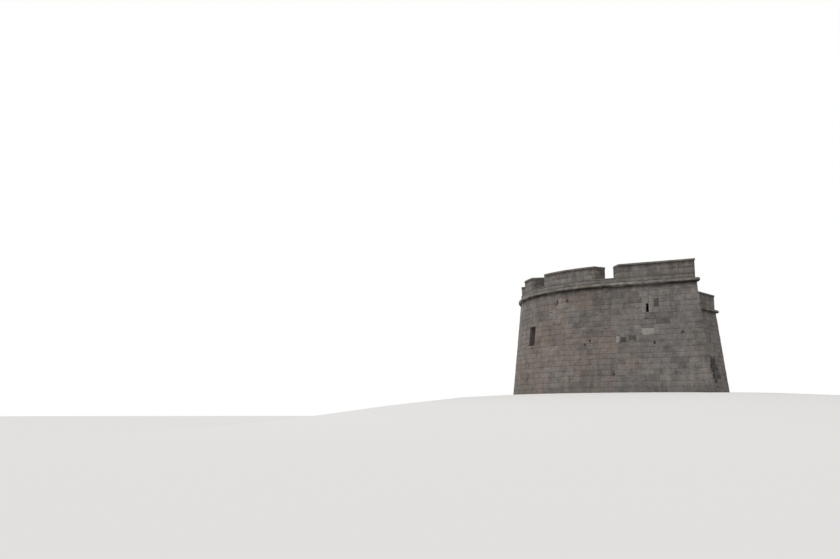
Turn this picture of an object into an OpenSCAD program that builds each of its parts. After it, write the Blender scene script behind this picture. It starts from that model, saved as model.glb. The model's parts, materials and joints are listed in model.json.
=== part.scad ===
/* [Plan] */
// Radius of the round wall's outer face, at the underside of the cordon
front_r = 10190; // [9000:10:13000]
// Angle by which each flank turns outward from the tower's long axis
flank_splay = 3.2; // [0:0.1:8]
// Length of each flank, from the round wall to the tip of its horn
flank_l = 6280; // [5600:10:8000]
// Angle between the inner face of a horn and the line across the two tips
horn_turn = 17.8; // [10:0.1:22]
// Width of the straight gate wall between the horns
gate_w = 8000; // [6000:50:9500]

/* [Walls] */
// Height of the walls, from the ground to the underside of the cordon
wall_h = 8050; // [7400:10:10000]
// How far the outer face leans inward for each unit of height
batter = 0.105; // [0.02:0.005:0.15]
// Batter of the two walls between the horns, which lean less
gorge_batter = 0.065; // [0.02:0.005:0.15]
// Thickness of the walls behind the terrace floor
terrace_wall_t = 1900; // [1500:10:2100]
// Width of the ledges that carry the upper floor and the terrace
ledge_w = 200; // [100:10:300]

/* [Floors] */
// Thickness of the ground floor
ground_floor_t = 250; // [100:10:500]
// Height of the upper floor's walking level
upper_floor_z = 3400; // [2800:10:3800]
// Thickness of the upper floor
upper_floor_t = 350; // [200:10:500]
// Thickness of the terrace floor, which is flush with the top of the walls
terrace_floor_t = 500; // [300:10:700]

/* [Cordon] */
// Height of the half-round cordon
cordon_h = 300; // [200:5:400]
// How far the cordon stands out from the wall
cordon_out = 200; // [150:5:300]

/* [Parapet] */
// Height of the parapet, from the top of the cordon to the top of the coping
parapet_h = 1450; // [1100:10:1900]
// Thickness of the parapet
parapet_t = 850; // [650:10:1000]
// How far the parapet's outer face stands back from the wall's top edge
parapet_setback = 50; // [0:5:150]
// Height of the breast wall under the embrasures
breast_h = 300; // [200:10:500]
// Height of the coping
coping_h = 155; // [100:5:250]
// How far the coping stands out from the parapet
coping_out = 50; // [20:5:100]
// Width of the bevel along the coping's upper edges
coping_bevel = 30; // [10:5:45]

/* [Embrasures] */
// Angle of the two front embrasures, from the tower's long axis
front_gap_angle = 20.6; // [18:0.1:23]
// Outer width of the front embrasures
front_gap_w = 3360; // [2000:10:3600]
// Angle of the two shoulder embrasures
shoulder_gap_angle = 46; // [44:0.1:52]
// Outer width of the shoulder embrasures
shoulder_gap_w = 1940; // [1600:10:2600]
// Angle of the two side embrasures, beside the flanks
side_gap_angle = 85; // [80:0.1:86]
// Outer width of the side embrasures
side_gap_w = 1850; // [1600:10:2200]
// How far each cheek closes in from the outer face to the inner face
cheek_splay = 610; // [300:10:650]
// Thickness of the embrasure sole at its outer edge
sole_t = 100; // [60:5:200]
// How much higher the sole is at its inner edge
sole_rise = 150; // [50:5:250]
// Joint between two dressed stones that meet at a turn of the wall
stone_joint = 10; // [5:1:20]

/* [Windows] */
// Angle of the two windows, from the tower's long axis
window_angle = 43.7; // [42:0.1:46]
// Width of a window at the outer face
window_w = 900; // [600:10:1100]
// Width of a window at the inner face
window_inner_w = 1300; // [1100:10:1500]
// Height of the window sills above the ground
window_z = 4000; // [3800:10:4400]
// Height of the windows
window_h = 1550; // [1000:10:1700]
// Height of the lintels
lintel_h = 350; // [250:10:450]
// Height of the window sill stones
window_sill_h = 220; // [150:10:300]
// How far the lintels and sills bear on the wall beside a window
bearing_l = 280; // [150:10:350]

/* [Loopholes] */
// Distance of the loopholes from the tips of the horns, along the flanks
loophole_back = 3560; // [3530:10:4200]
// Height of the loophole's bottom above the ground
loophole_z = 5970; // [5000:10:6300]
// Height of the loopholes
loophole_h = 650; // [400:10:900]
// Width of the loopholes at the outer face
loophole_w = 200; // [120:5:300]
// Width of the loopholes at the inner face
loophole_inner_w = 600; // [400:10:700]
// Width of the dressed stones beside the loopholes
loophole_jamb_w = 300; // [200:10:400]

/* [Dressed stones] */
// Depth of the sills, lintels and jambs behind the wall's top edge line
stone_depth = 350; // [250:10:600]

/* [Door] */
// Width of the doorway
door_w = 1100; // [900:10:1300]
// Height from the threshold to the springing of the arch
door_spring = 1550; // [1200:10:1900]
// Width of the stones round the doorway
door_stone_w = 300; // [200:10:400]
// Height of the threshold stone
door_sill_h = 200; // [150:10:300]
// Thickness of the door leaf
door_leaf_t = 80; // [50:5:120]
// Gap round the door leaf
door_gap = 5; // [3:1:10]
// How far the leaf stands behind the gate wall's top edge line
door_setback = 250; // [100:10:500]

/* [Hidden] */
// Facets of a full circle on the plan, and on the cordon's bead
$fn = 256;
bead_fn = 32;

// Wall thicknesses, each measured inward from the top edge line of the outer face
upper_wall_t = terrace_wall_t + ledge_w;
lower_wall_t = upper_wall_t + ledge_w;
base_out = batter*wall_h;
gorge_out = gorge_batter*wall_h;

// Heights of the parts of the wall's top
cordon_top = wall_h + cordon_h;
breast_top = cordon_top + breast_h;
tower_h = cordon_top + parapet_h;
coping_z = tower_h - coping_h;
parapet_in = -parapet_setback - parapet_t;
parapet_r = front_r - parapet_setback;
coping_r = parapet_r + coping_out;
coping_w = parapet_t + 2*coping_out;
gap_slope = cheek_splay/parapet_t;

// The plan: outward directions of the left flank, the left horn's inner face and the gate wall
flank_n = [-cos(flank_splay), sin(flank_splay)];
horn_n = [sin(horn_turn), -cos(horn_turn)];
gate_n = [0, -1];
turn_angle = 90 - flank_splay;
horn_tip = front_r*flank_n - flank_l*[sin(flank_splay), cos(flank_splay)];
horn_c = horn_n*horn_tip;
horn_face_l = (-gate_w/2 - horn_tip.x)/cos(horn_turn);
gate_c = -horn_tip.y - horn_face_l*sin(horn_turn);

// Angles from the long axis at which the round wall's segments meet
front_end_angle = 12;
window_start_angle = 36;
window_end_angle = 51.5;

// Places of the openings
loophole_run = flank_l - loophole_back;
door_side_x = door_w/2 + door_stone_w;
spring_z = upper_floor_z + door_spring;

// Reach of the cutting shapes beyond what they cut
margin = 100;
plan_out = base_out + cordon_out + margin;
plan_in = -lower_wall_t - margin;
far = 2*(front_r + flank_l);
floor_overlap = 500;

// The point where two lines of the plan meet; a line is a direction and a distance along it
function meet(n1, c1, n2, c2) =
  [c1*n2.y - c2*n1.y, n1.x*c2 - n2.x*c1]/(n1.x*n2.y - n1.y*n2.x);
function flip(p) = [-p.x, p.y];

// Corners of the left half of the plan, moved outward by o
function turn_at(o) = (front_r + o)*flank_n;
function tip_at(o) = meet(flank_n, front_r + o, horn_n, horn_c + o);
function gate_at(o) = meet(horn_n, horn_c + o, gate_n, gate_c + o);

// Plans of the straight stretches between the offsets o and i, mitred at their corners
function flank_plan(o, i) = [turn_at(o), tip_at(o), tip_at(i), turn_at(i)];
function horn_plan(o, i) = [tip_at(o), gate_at(o), gate_at(i), tip_at(i)];
function gate_plan(o, i, joint = 0) =
  let (outer = gate_at(o) + [joint, 0], inner = gate_at(i) + [joint, 0])
  [outer, flip(outer), flip(inner), inner];

// The square cuts that part the left horn from its walls. They meet within the walls' thickness.
horn_root_t = terrace_wall_t + ledge_w/2;
horn_root = tip_at(-horn_root_t);
flank_cut = horn_root + (plan_out + horn_root_t)*flank_n;
horn_cut = horn_root + (plan_out + horn_root_t)*horn_n;

// Cross-sections, x outward from the top edge line and y up
module wall_section(foot_out = base_out) {
  polygon([
    [foot_out, 0], [0, wall_h], [-terrace_wall_t, wall_h],
    [-terrace_wall_t, wall_h - terrace_floor_t], [-upper_wall_t, wall_h - terrace_floor_t],
    [-upper_wall_t, upper_floor_z - upper_floor_t], [-lower_wall_t, upper_floor_z - upper_floor_t],
    [-lower_wall_t, 0]
  ]);
}

module cordon_section() {
  bead_r = cordon_h/2;
  translate([parapet_in, wall_h]) square([cordon_out - bead_r - parapet_in, cordon_h]);
  translate([cordon_out - bead_r, wall_h + bead_r]) circle(bead_r, $fn = bead_fn);
}

module parapet_section(z0, z1) {
  translate([parapet_in, z0]) square([parapet_t, z1 - z0]);
}

module coping_section() {
  outer = coping_out - parapet_setback;
  inner = parapet_in - coping_out;
  polygon([
    [inner, coping_z], [outer, coping_z], [outer, tower_h - coping_bevel], [outer - coping_bevel, tower_h],
    [inner + coping_bevel, tower_h], [inner, tower_h - coping_bevel]
  ]);
}

// Sweeps of a cross-section round the plan
module round_run(from, to) {
  rotate_extrude(start = 90 + from, angle = to - from) translate([front_r, 0]) children();
}

module straight_run(n, c, plan) {
  intersection() {
    linear_extrude(tower_h + margin) polygon(plan);
    rotate([0, 0, atan2(n.y, n.x)]) translate([c, far/2, 0]) rotate([90, 0, 0])
      linear_extrude(far) children();
  }
}

module flank_run(plan) {
  straight_run(flank_n, front_r, plan) children();
}

module horn_run(plan) {
  straight_run(horn_n, horn_c, plan) children();
}

module gate_run(plan) {
  straight_run(gate_n, gate_c, plan) children();
}

module right_side() {
  mirror([1, 0, 0]) children();
}

module both_sides() {
  children();
  right_side() children();
}

// Floor plates that fill the space inside the walls. The round and the straight part overlap.
module floor_plate(t, z, h) {
  inner = [turn_at(-t), tip_at(-t), gate_at(-t)];
  plan = [[0, front_r/2], inner[0], inner[1], inner[2], flip(inner[2]), flip(inner[1]), flip(inner[0])];
  translate([0, 0, z]) linear_extrude(h) {
    intersection() {
      circle(front_r - t);
      translate([-far/2, -floor_overlap]) square(far);
    }
    polygon(plan);
  }
}

module ground_floor() {
  color("darkgray") floor_plate(lower_wall_t, 0, ground_floor_t);
}

module upper_floor() {
  color("darkgray") floor_plate(upper_wall_t, upper_floor_z - upper_floor_t, upper_floor_t);
}

module terrace_floor() {
  color("darkgray") floor_plate(terrace_wall_t, wall_h - terrace_floor_t, terrace_floor_t);
}

// Openings of the left side
module window_void() {
  face = front_r - stone_depth;
  back = front_r - upper_wall_t - margin;
  half = window_w/2;
  inner_half = window_inner_w/2;
  rotate([0, 0, window_angle]) translate([0, 0, window_z]) linear_extrude(window_h) polygon([
    [-half, face], [-inner_half, back], [inner_half, back], [half, face], [half, far], [-half, far]
  ]);
}

module window_stone(z, h) {
  w = window_w + 2*bearing_l;
  rotate([0, 0, window_angle]) translate([-w/2, front_r - stone_depth, z]) cube([w, front_r, h]);
}

module window_sill_block() {
  window_stone(window_z - window_sill_h, window_sill_h);
}

module window_lintel_block() {
  window_stone(window_z + window_h, lintel_h);
}

module on_flank(run) {
  rotate([0, 0, atan2(flank_n.y, flank_n.x)]) translate([front_r, run, 0]) children();
}

module loophole_void() {
  half = loophole_w/2;
  inner_half = loophole_inner_w/2;
  back = -upper_wall_t - margin;
  on_flank(loophole_run) translate([0, 0, loophole_z]) linear_extrude(loophole_h) polygon([
    [front_r, -half], [front_r, half], [-stone_depth, half], [back, inner_half], [back, -inner_half],
    [-stone_depth, -half]
  ]);
}

module loophole_blocks() {
  for (side = [-1, 1])
    on_flank(loophole_run + side*(loophole_w + loophole_jamb_w)/2)
      translate([-stone_depth, -loophole_jamb_w/2, loophole_z]) cube([front_r, loophole_jamb_w, loophole_h]);
}

// The round wall
module round_wall(from, to) {
  round_run(from, to) wall_section();
}

module window_wall() {
  difference() {
    round_wall(window_start_angle, window_end_angle);
    window_void();
    window_sill_block();
    window_lintel_block();
  }
}

module front_wall() {
  color("tan") round_wall(-front_end_angle, front_end_angle);
}

module left_shoulder_wall() {
  color("tan") round_wall(front_end_angle, window_start_angle);
}

module right_shoulder_wall() {
  color("tan") right_side() round_wall(front_end_angle, window_start_angle);
}

module left_window_wall() {
  color("tan") window_wall();
}

module right_window_wall() {
  color("tan") right_side() window_wall();
}

module left_side_wall() {
  color("tan") round_wall(window_end_angle, turn_angle);
}

module right_side_wall() {
  color("tan") right_side() round_wall(window_end_angle, turn_angle);
}

// Sills and lintels follow the leaning face of the wall
module window_sills() {
  color("silver") both_sides() intersection() {
    round_wall(window_start_angle, window_end_angle);
    window_sill_block();
  }
}

module window_lintels() {
  color("silver") both_sides() intersection() {
    round_wall(window_start_angle, window_end_angle);
    window_lintel_block();
  }
}

// The flanks, from the round wall to the horns
module flank_wall_body() {
  flank_run([turn_at(plan_out), flank_cut, horn_root, tip_at(plan_in), turn_at(plan_in)]) wall_section();
}

module flank_wall() {
  difference() {
    flank_wall_body();
    loophole_void();
    loophole_blocks();
  }
}

module left_flank_wall() {
  color("rosybrown") flank_wall();
}

module right_flank_wall() {
  color("rosybrown") right_side() flank_wall();
}

module loophole_jambs() {
  color("silver") both_sides() intersection() {
    flank_wall_body();
    loophole_blocks();
  }
}

// A horn is solid. Its two leaning faces meet in the sharp corner, and it carries the terrace floor.
module horn_section(foot_out) {
  polygon([[foot_out, 0], [0, wall_h], [-far, wall_h], [-far, 0]]);
}

module horn() {
  plan = [flank_cut, tip_at(plan_out), horn_cut, horn_root];
  difference() {
    intersection() {
      flank_run(plan) horn_section(base_out);
      horn_run(plan) horn_section(gorge_out);
    }
    floor_plate(terrace_wall_t, wall_h - terrace_floor_t, terrace_floor_t + margin);
  }
}

module left_horn() {
  color("tan") horn();
}

module right_horn() {
  color("tan") right_side() horn();
}

module gorge_wall() {
  plan = [horn_cut, gate_at(plan_out), gate_at(plan_in), tip_at(plan_in), horn_root];
  horn_run(plan) wall_section(gorge_out);
}

module left_gorge_wall() {
  color("rosybrown") gorge_wall();
}

module right_gorge_wall() {
  color("rosybrown") right_side() gorge_wall();
}

// The gate wall, split round the raised doorway
module gate_strip(half_w) {
  y0 = -gate_c - plan_out;
  y1 = -gate_c - plan_in;
  gate_run([[-half_w, y0], [half_w, y0], [half_w, y1], [-half_w, y1]]) wall_section(gorge_out);
}

module gate_side_wall() {
  y0 = -gate_c - plan_out;
  y1 = -gate_c - plan_in;
  plan = [gate_at(plan_out), [-door_side_x, y0], [-door_side_x, y1], gate_at(plan_in)];
  gate_run(plan) wall_section(gorge_out);
}

module through_gate(depth, y) {
  translate([0, y, 0]) rotate([90, 0, 0]) linear_extrude(depth) children();
}

module across_gate() {
  through_gate(plan_out - plan_in, -gate_c - plan_in) children();
}

module left_gate_wall() {
  color("rosybrown") gate_side_wall();
}

module right_gate_wall() {
  color("rosybrown") right_side() gate_side_wall();
}

module gate_foot_wall() {
  color("rosybrown") intersection() {
    gate_strip(door_side_x);
    across_gate() translate([-door_side_x, 0]) square([2*door_side_x, upper_floor_z - door_sill_h]);
  }
}

module door_sill() {
  color("silver") intersection() {
    gate_strip(door_side_x);
    across_gate() translate([-door_side_x, upper_floor_z - door_sill_h]) square([2*door_side_x, door_sill_h]);
  }
}

module door_jambs() {
  color("silver") intersection() {
    gate_strip(door_side_x);
    across_gate() for (x = [-door_side_x, door_w/2])
      translate([x, upper_floor_z]) square([door_stone_w, door_spring]);
  }
}

module half_disc(r) {
  intersection() {
    translate([0, spring_z]) circle(r);
    translate([-r, spring_z]) square([2*r, r]);
  }
}

module door_arch() {
  color("silver") intersection() {
    gate_strip(door_side_x);
    across_gate() difference() {
      half_disc(door_side_x);
      translate([0, spring_z]) circle(door_w/2);
    }
  }
}

module gate_head_wall() {
  color("rosybrown") intersection() {
    gate_strip(door_side_x);
    across_gate() difference() {
      translate([-door_side_x, spring_z]) square([2*door_side_x, wall_h - spring_z]);
      half_disc(door_side_x);
    }
  }
}

module gate_door() {
  half = door_w/2 - door_gap;
  color("saddlebrown") through_gate(door_leaf_t, -gate_c + door_setback + door_leaf_t) {
    translate([0, spring_z]) circle(half);
    translate([-half, upper_floor_z]) square([2*half, door_spring]);
  }
}

// The cordon
module round_cordon() {
  color("gray") round_run(-turn_angle, turn_angle) cordon_section();
}

module flank_cordons() {
  color("gray") both_sides() flank_run(flank_plan(plan_out, plan_in)) cordon_section();
}

module gorge_cordons() {
  color("gray") both_sides() horn_run(horn_plan(plan_out, plan_in)) cordon_section();
}

module gate_cordon() {
  color("gray") gate_run(gate_plan(plan_out, plan_in)) cordon_section();
}

// Distance of a gap's outer corners along its own middle line
function corner_y(w) = sqrt(parapet_r*parapet_r - w*w/4);

// Angle from a gap's middle line to the point where its cheek crosses a circle of radius r
function cheek_angle(w, r) =
  let (foot = w/2 - gap_slope*corner_y(w), k = 1 + gap_slope*gap_slope)
  let (y = (sqrt(k*r*r - foot*foot) - foot*gap_slope)/k)
  atan2(foot + gap_slope*y, y);

module gap_plan(w) {
  half = w/2;
  out = parapet_r - corner_y(w) + coping_out + margin;
  in = parapet_t + coping_out;
  polygon([
    [-half - out*gap_slope, corner_y(w) + out], [-half + in*gap_slope, corner_y(w) - in],
    [half - in*gap_slope, corner_y(w) - in], [half + out*gap_slope, corner_y(w) + out]
  ]);
}

module gap(angle, w, z) {
  rotate([0, 0, angle]) translate([0, 0, z]) linear_extrude(tower_h) gap_plan(w);
}

// The parapet
module breast_wall() {
  color("gray") round_run(-turn_angle, turn_angle) parapet_section(cordon_top, breast_top);
}

// A stretch of the ring between two gaps. It ends just past the cheeks' inner corners, at the radius
// r - depth, and its core between their outer corners, at the radius r, puts a facet edge at each.
module ring_between(from, from_w, to, to_w, r, depth) {
  inner_r = r - depth;
  spare = 0.02;
  round_run(from + cheek_angle(from_w, inner_r) - spare, to - cheek_angle(to_w, inner_r) + spare) children();
  round_run(from + cheek_angle(from_w, r), to - cheek_angle(to_w, r)) children();
}

// The front merlon's ring, which is alike on both sides of the long axis
module front_ring(r, depth, w) {
  spare = 0.02;
  both_sides() {
    round_run(0, front_gap_angle - cheek_angle(w, r - depth) + spare) children();
    round_run(0, front_gap_angle - cheek_angle(w, r)) children();
  }
}

module merlon(from, from_w, to, to_w) {
  difference() {
    ring_between(from, from_w, to, to_w, parapet_r, parapet_t) parapet_section(breast_top, coping_z);
    gap(from, from_w, breast_top - margin);
    gap(to, to_w, breast_top - margin);
  }
}

module shoulder_merlon() {
  merlon(front_gap_angle, front_gap_w, shoulder_gap_angle, shoulder_gap_w);
}

module side_merlon() {
  merlon(shoulder_gap_angle, shoulder_gap_w, side_gap_angle, side_gap_w);
}

module front_merlon() {
  color("gray") difference() {
    front_ring(parapet_r, parapet_t, front_gap_w) parapet_section(breast_top, coping_z);
    both_sides() gap(front_gap_angle, front_gap_w, breast_top - margin);
  }
}

module left_shoulder_merlon() {
  color("gray") shoulder_merlon();
}

module right_shoulder_merlon() {
  color("gray") right_side() shoulder_merlon();
}

module left_side_merlon() {
  color("gray") side_merlon();
}

module right_side_merlon() {
  color("gray") right_side() side_merlon();
}

module flank_parapet() {
  difference() {
    flank_run(flank_plan(plan_out, plan_in)) parapet_section(cordon_top, coping_z);
    gap(side_gap_angle, side_gap_w, breast_top);
  }
}

module left_flank_parapet() {
  color("gray") flank_parapet();
}

module right_flank_parapet() {
  color("gray") right_side() flank_parapet();
}

module gorge_parapet() {
  outer = [tip_at(-parapet_setback), gate_at(-parapet_setback)];
  inner = [tip_at(parapet_in), gate_at(parapet_in)];
  color("gray") translate([0, 0, cordon_top]) linear_extrude(coping_z - cordon_top) polygon([
    outer[0], outer[1], flip(outer[1]), flip(outer[0]), flip(inner[0]), flip(inner[1]), inner[1], inner[0]
  ]);
}

// A sole slopes down and out between two cheeks
module sole_section() {
  polygon([
    [-parapet_setback, breast_top], [-parapet_setback, breast_top + sole_t],
    [parapet_in, breast_top + sole_t + sole_rise], [parapet_in, breast_top]
  ]);
}

module sole(angle, w) {
  start = stone_joint*[-sin(flank_splay), -cos(flank_splay)];
  plan = [turn_at(plan_out) + start, tip_at(plan_out), tip_at(plan_in), turn_at(plan_in) + start];
  intersection() {
    union() {
      round_run(0, turn_angle) sole_section();
      flank_run(plan) sole_section();
    }
    gap(angle, w, breast_top);
  }
}

module embrasure_soles() {
  color("gray") both_sides() {
    sole(front_gap_angle, front_gap_w);
    sole(shoulder_gap_angle, shoulder_gap_w);
    sole(side_gap_angle, side_gap_w);
  }
}

// The copings overhang the faces and end flush with the cheeks
module coping(from, from_w, to, to_w) {
  difference() {
    ring_between(from, from_w, to, to_w, coping_r, coping_w) coping_section();
    gap(from, from_w, coping_z - margin);
    gap(to, to_w, coping_z - margin);
  }
}

module front_coping() {
  difference() {
    front_ring(coping_r, coping_w, front_gap_w) coping_section();
    both_sides() gap(front_gap_angle, front_gap_w, coping_z - margin);
  }
}

module merlon_copings() {
  color("gray") {
    front_coping();
    both_sides() {
      coping(front_gap_angle, front_gap_w, shoulder_gap_angle, shoulder_gap_w);
      coping(shoulder_gap_angle, shoulder_gap_w, side_gap_angle, side_gap_w);
    }
  }
}

module flank_copings() {
  color("gray") both_sides() difference() {
    flank_run(flank_plan(plan_out, plan_in)) coping_section();
    gap(side_gap_angle, side_gap_w, coping_z - margin);
  }
}

module gorge_coping() {
  color("gray") {
    both_sides() horn_run(horn_plan(plan_out, plan_in)) coping_section();
    gate_run(gate_plan(plan_out, plan_in, stone_joint)) coping_section();
  }
}

ground_floor();
upper_floor();
terrace_floor();
front_wall();
left_shoulder_wall();
right_shoulder_wall();
left_window_wall();
right_window_wall();
left_side_wall();
right_side_wall();
left_flank_wall();
right_flank_wall();
left_horn();
right_horn();
left_gorge_wall();
right_gorge_wall();
left_gate_wall();
right_gate_wall();
gate_foot_wall();
gate_head_wall();
door_sill();
door_jambs();
door_arch();
gate_door();
window_sills();
window_lintels();
loophole_jambs();
round_cordon();
flank_cordons();
gorge_cordons();
gate_cordon();
breast_wall();
embrasure_soles();
front_merlon();
left_shoulder_merlon();
right_shoulder_merlon();
left_side_merlon();
right_side_merlon();
left_flank_parapet();
right_flank_parapet();
gorge_parapet();
merlon_copings();
flank_copings();
gorge_coping();
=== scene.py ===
"""Dresses the coastal gun tower: facing stones, paving, copings, the gate, finishes, lights and the view."""

import json
import logging
import math
import random
from abc import ABC, abstractmethod
from collections.abc import Callable, Sequence
from dataclasses import dataclass, field, replace
from enum import Enum
from itertools import pairwise

import bmesh
import bpy
from mathutils import Matrix, Vector, noise


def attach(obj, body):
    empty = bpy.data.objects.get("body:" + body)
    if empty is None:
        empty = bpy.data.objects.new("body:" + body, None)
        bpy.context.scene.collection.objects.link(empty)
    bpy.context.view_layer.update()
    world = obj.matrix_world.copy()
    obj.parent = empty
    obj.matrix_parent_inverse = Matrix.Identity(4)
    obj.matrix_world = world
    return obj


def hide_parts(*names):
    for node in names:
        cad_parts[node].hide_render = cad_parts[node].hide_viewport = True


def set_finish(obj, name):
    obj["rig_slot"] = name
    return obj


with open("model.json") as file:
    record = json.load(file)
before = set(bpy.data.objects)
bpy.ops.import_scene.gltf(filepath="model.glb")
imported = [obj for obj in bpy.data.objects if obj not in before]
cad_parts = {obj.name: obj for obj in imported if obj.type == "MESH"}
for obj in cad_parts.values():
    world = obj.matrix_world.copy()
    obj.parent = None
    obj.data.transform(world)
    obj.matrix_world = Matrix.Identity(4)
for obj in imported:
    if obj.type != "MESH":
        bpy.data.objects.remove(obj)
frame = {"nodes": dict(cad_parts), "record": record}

log = logging.getLogger("tower")

Colour = tuple[float, float, float]
Tint = tuple[float, float, float, float]
Band = tuple[float, float, float, float]
Pair = tuple[float, float]
Face = Callable[[float], float]
Piece = bpy.types.Object
Socket = bpy.types.NodeSocket

# An infinite distance along a wall stands for its mitred end
END = math.inf
# Name of the colour attribute that holds each stone's tint
STONE = "Stone"
# Strips thinner than this are left to the mortar
THIN = 0.02
# A patch or jamb this near to a bed joint moves to it
SNAP = 0.1
# Outlines closer than this count as touching
TOUCH = 1e-4
# How far a course's height, and a stone's tone or warmth, swing about the usual
COURSE_SWING = 0.12
TINT_SWING = 0.22
# Slack in the usual length of a stone, and how many divisions of a course are tried
BOND_SLACK = 0.06
BOND_TRIES = 8
BISECTIONS = 40


class Slot(Enum):
    """Material slots of the record that the pieces take their finish from."""

    FLOOR = "floor_stone"
    ROUND = "round_masonry"
    FLANK = "flank_masonry"
    DRESSED = "dressed_stone"
    DOOR = "door_wood"
    CORDON = "cordon_stone"
    PARAPET = "parapet_masonry"
    COPING = "coping_stone"


class Side(Enum):
    """Sides of the tower, seen from the gate with the sea ahead."""

    LEFT = 1
    RIGHT = -1

    def point(self, p: Vector, z: float) -> Vector:
        """Return a point of the left half at a height, mirrored where this is the right side."""
        return Vector((p.x * self.value, p.y, z))


def meet(n1: Vector, c1: float, n2: Vector, c2: float) -> Vector:
    """Find where two lines of the plan meet.

    Args:
        n1: Direction across the first line.
        c1: Distance of the first line from the origin.
        n2: Direction across the second line.
        c2: Distance of the second line from the origin.

    Returns:
        The point of the plan on both lines.
    """
    det = n1.x * n2.y - n1.y * n2.x
    return Vector((c1 * n2.y - c2 * n1.y, n1.x * c2 - n2.x * c1)) / det


class Run(ABC):
    """A stretch of wall on the plan.

    Offsets are measured outward from the wall's top edge line, and distances along that line.
    """

    @abstractmethod
    def low(self, offset: float) -> float:
        """Return where the run starts at an offset."""

    @abstractmethod
    def high(self, offset: float) -> float:
        """Return where the run ends at an offset."""

    @abstractmethod
    def place(self, s: float, offset: float, z: float) -> Vector:
        """Return the point at a distance along the run, an offset and a height."""

    @abstractmethod
    def locate(self, p: Vector) -> Pair:
        """Return the distance and the offset of a point of the plan."""

    def reach(self, s: float, offset: float) -> float:
        """Return the distance, or that of the end that an infinite one stands for."""
        end = self.high(offset) if s > 0 else self.low(offset)
        return s if math.isfinite(s) else end

    def span(self, ends: Pair, offset: float, gap: float) -> Pair:
        """Find where a stone starts and ends, with a gap at each end that isn't mitred.

        Args:
            ends: Where its joints are.
            offset: Offset at which it is measured.
            gap: The gap.

        Returns:
            Its start and its end along the run.
        """
        start, end = (self.reach(s, offset) for s in ends)
        first, last = (gap if math.isfinite(s) else 0.0 for s in ends)
        return start + first, end - last


@dataclass(frozen=True)
class StraightRun(Run):
    """A straight stretch of wall, with mitred ends."""

    origin: Vector
    along: Vector
    normal: Vector
    length: float
    low_slope: float
    high_slope: float

    def low(self, offset: float) -> float:
        """Return where the run starts at an offset."""
        return self.low_slope * offset

    def high(self, offset: float) -> float:
        """Return where the run ends at an offset."""
        return self.length + self.high_slope * offset

    def place(self, s: float, offset: float, z: float) -> Vector:
        """Return the point at a distance along the run, an offset and a height."""
        p = self.origin + self.along * self.reach(s, offset) + self.normal * offset
        return Vector((p.x, p.y, z))

    def locate(self, p: Vector) -> Pair:
        """Return the distance and the offset of a point of the plan."""
        return (p - self.origin).dot(self.along), (p - self.origin).dot(self.normal)

    def mirrored(self) -> "StraightRun":
        """Return the same run on the tower's other side."""
        flip = [Vector((-v.x, v.y)) for v in (self.origin, self.along, self.normal)]
        return StraightRun(*flip, self.length, self.low_slope, self.high_slope)


@dataclass(frozen=True)
class RoundRun(Run):
    """The round wall. Distances are measured to the left from the long axis."""

    radius: float
    turn: float

    def low(self, offset: float) -> float:
        """Return where the arc starts, which is the same at each offset."""
        return -self.radius * self.turn

    def high(self, offset: float) -> float:
        """Return where the arc ends, which is the same at each offset."""
        return self.radius * self.turn

    def place(self, s: float, offset: float, z: float) -> Vector:
        """Return the point at a distance along the arc, an offset and a height."""
        angle, r = self.reach(s, offset) / self.radius, self.radius + offset
        return Vector((-r * math.sin(angle), r * math.cos(angle), z))

    def locate(self, p: Vector) -> Pair:
        """Return the distance and the offset of a point of the plan."""
        return math.atan2(-p.x, p.y) * self.radius, p.length - self.radius


@dataclass(frozen=True)
class Gap:
    """An embrasure: its angle from the long axis to the left, in degrees, and its outer width."""

    angle: float
    width: float

    def mirrored(self) -> "Gap":
        """Return the same embrasure on the tower's other side."""
        return Gap(-self.angle, self.width)


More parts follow.
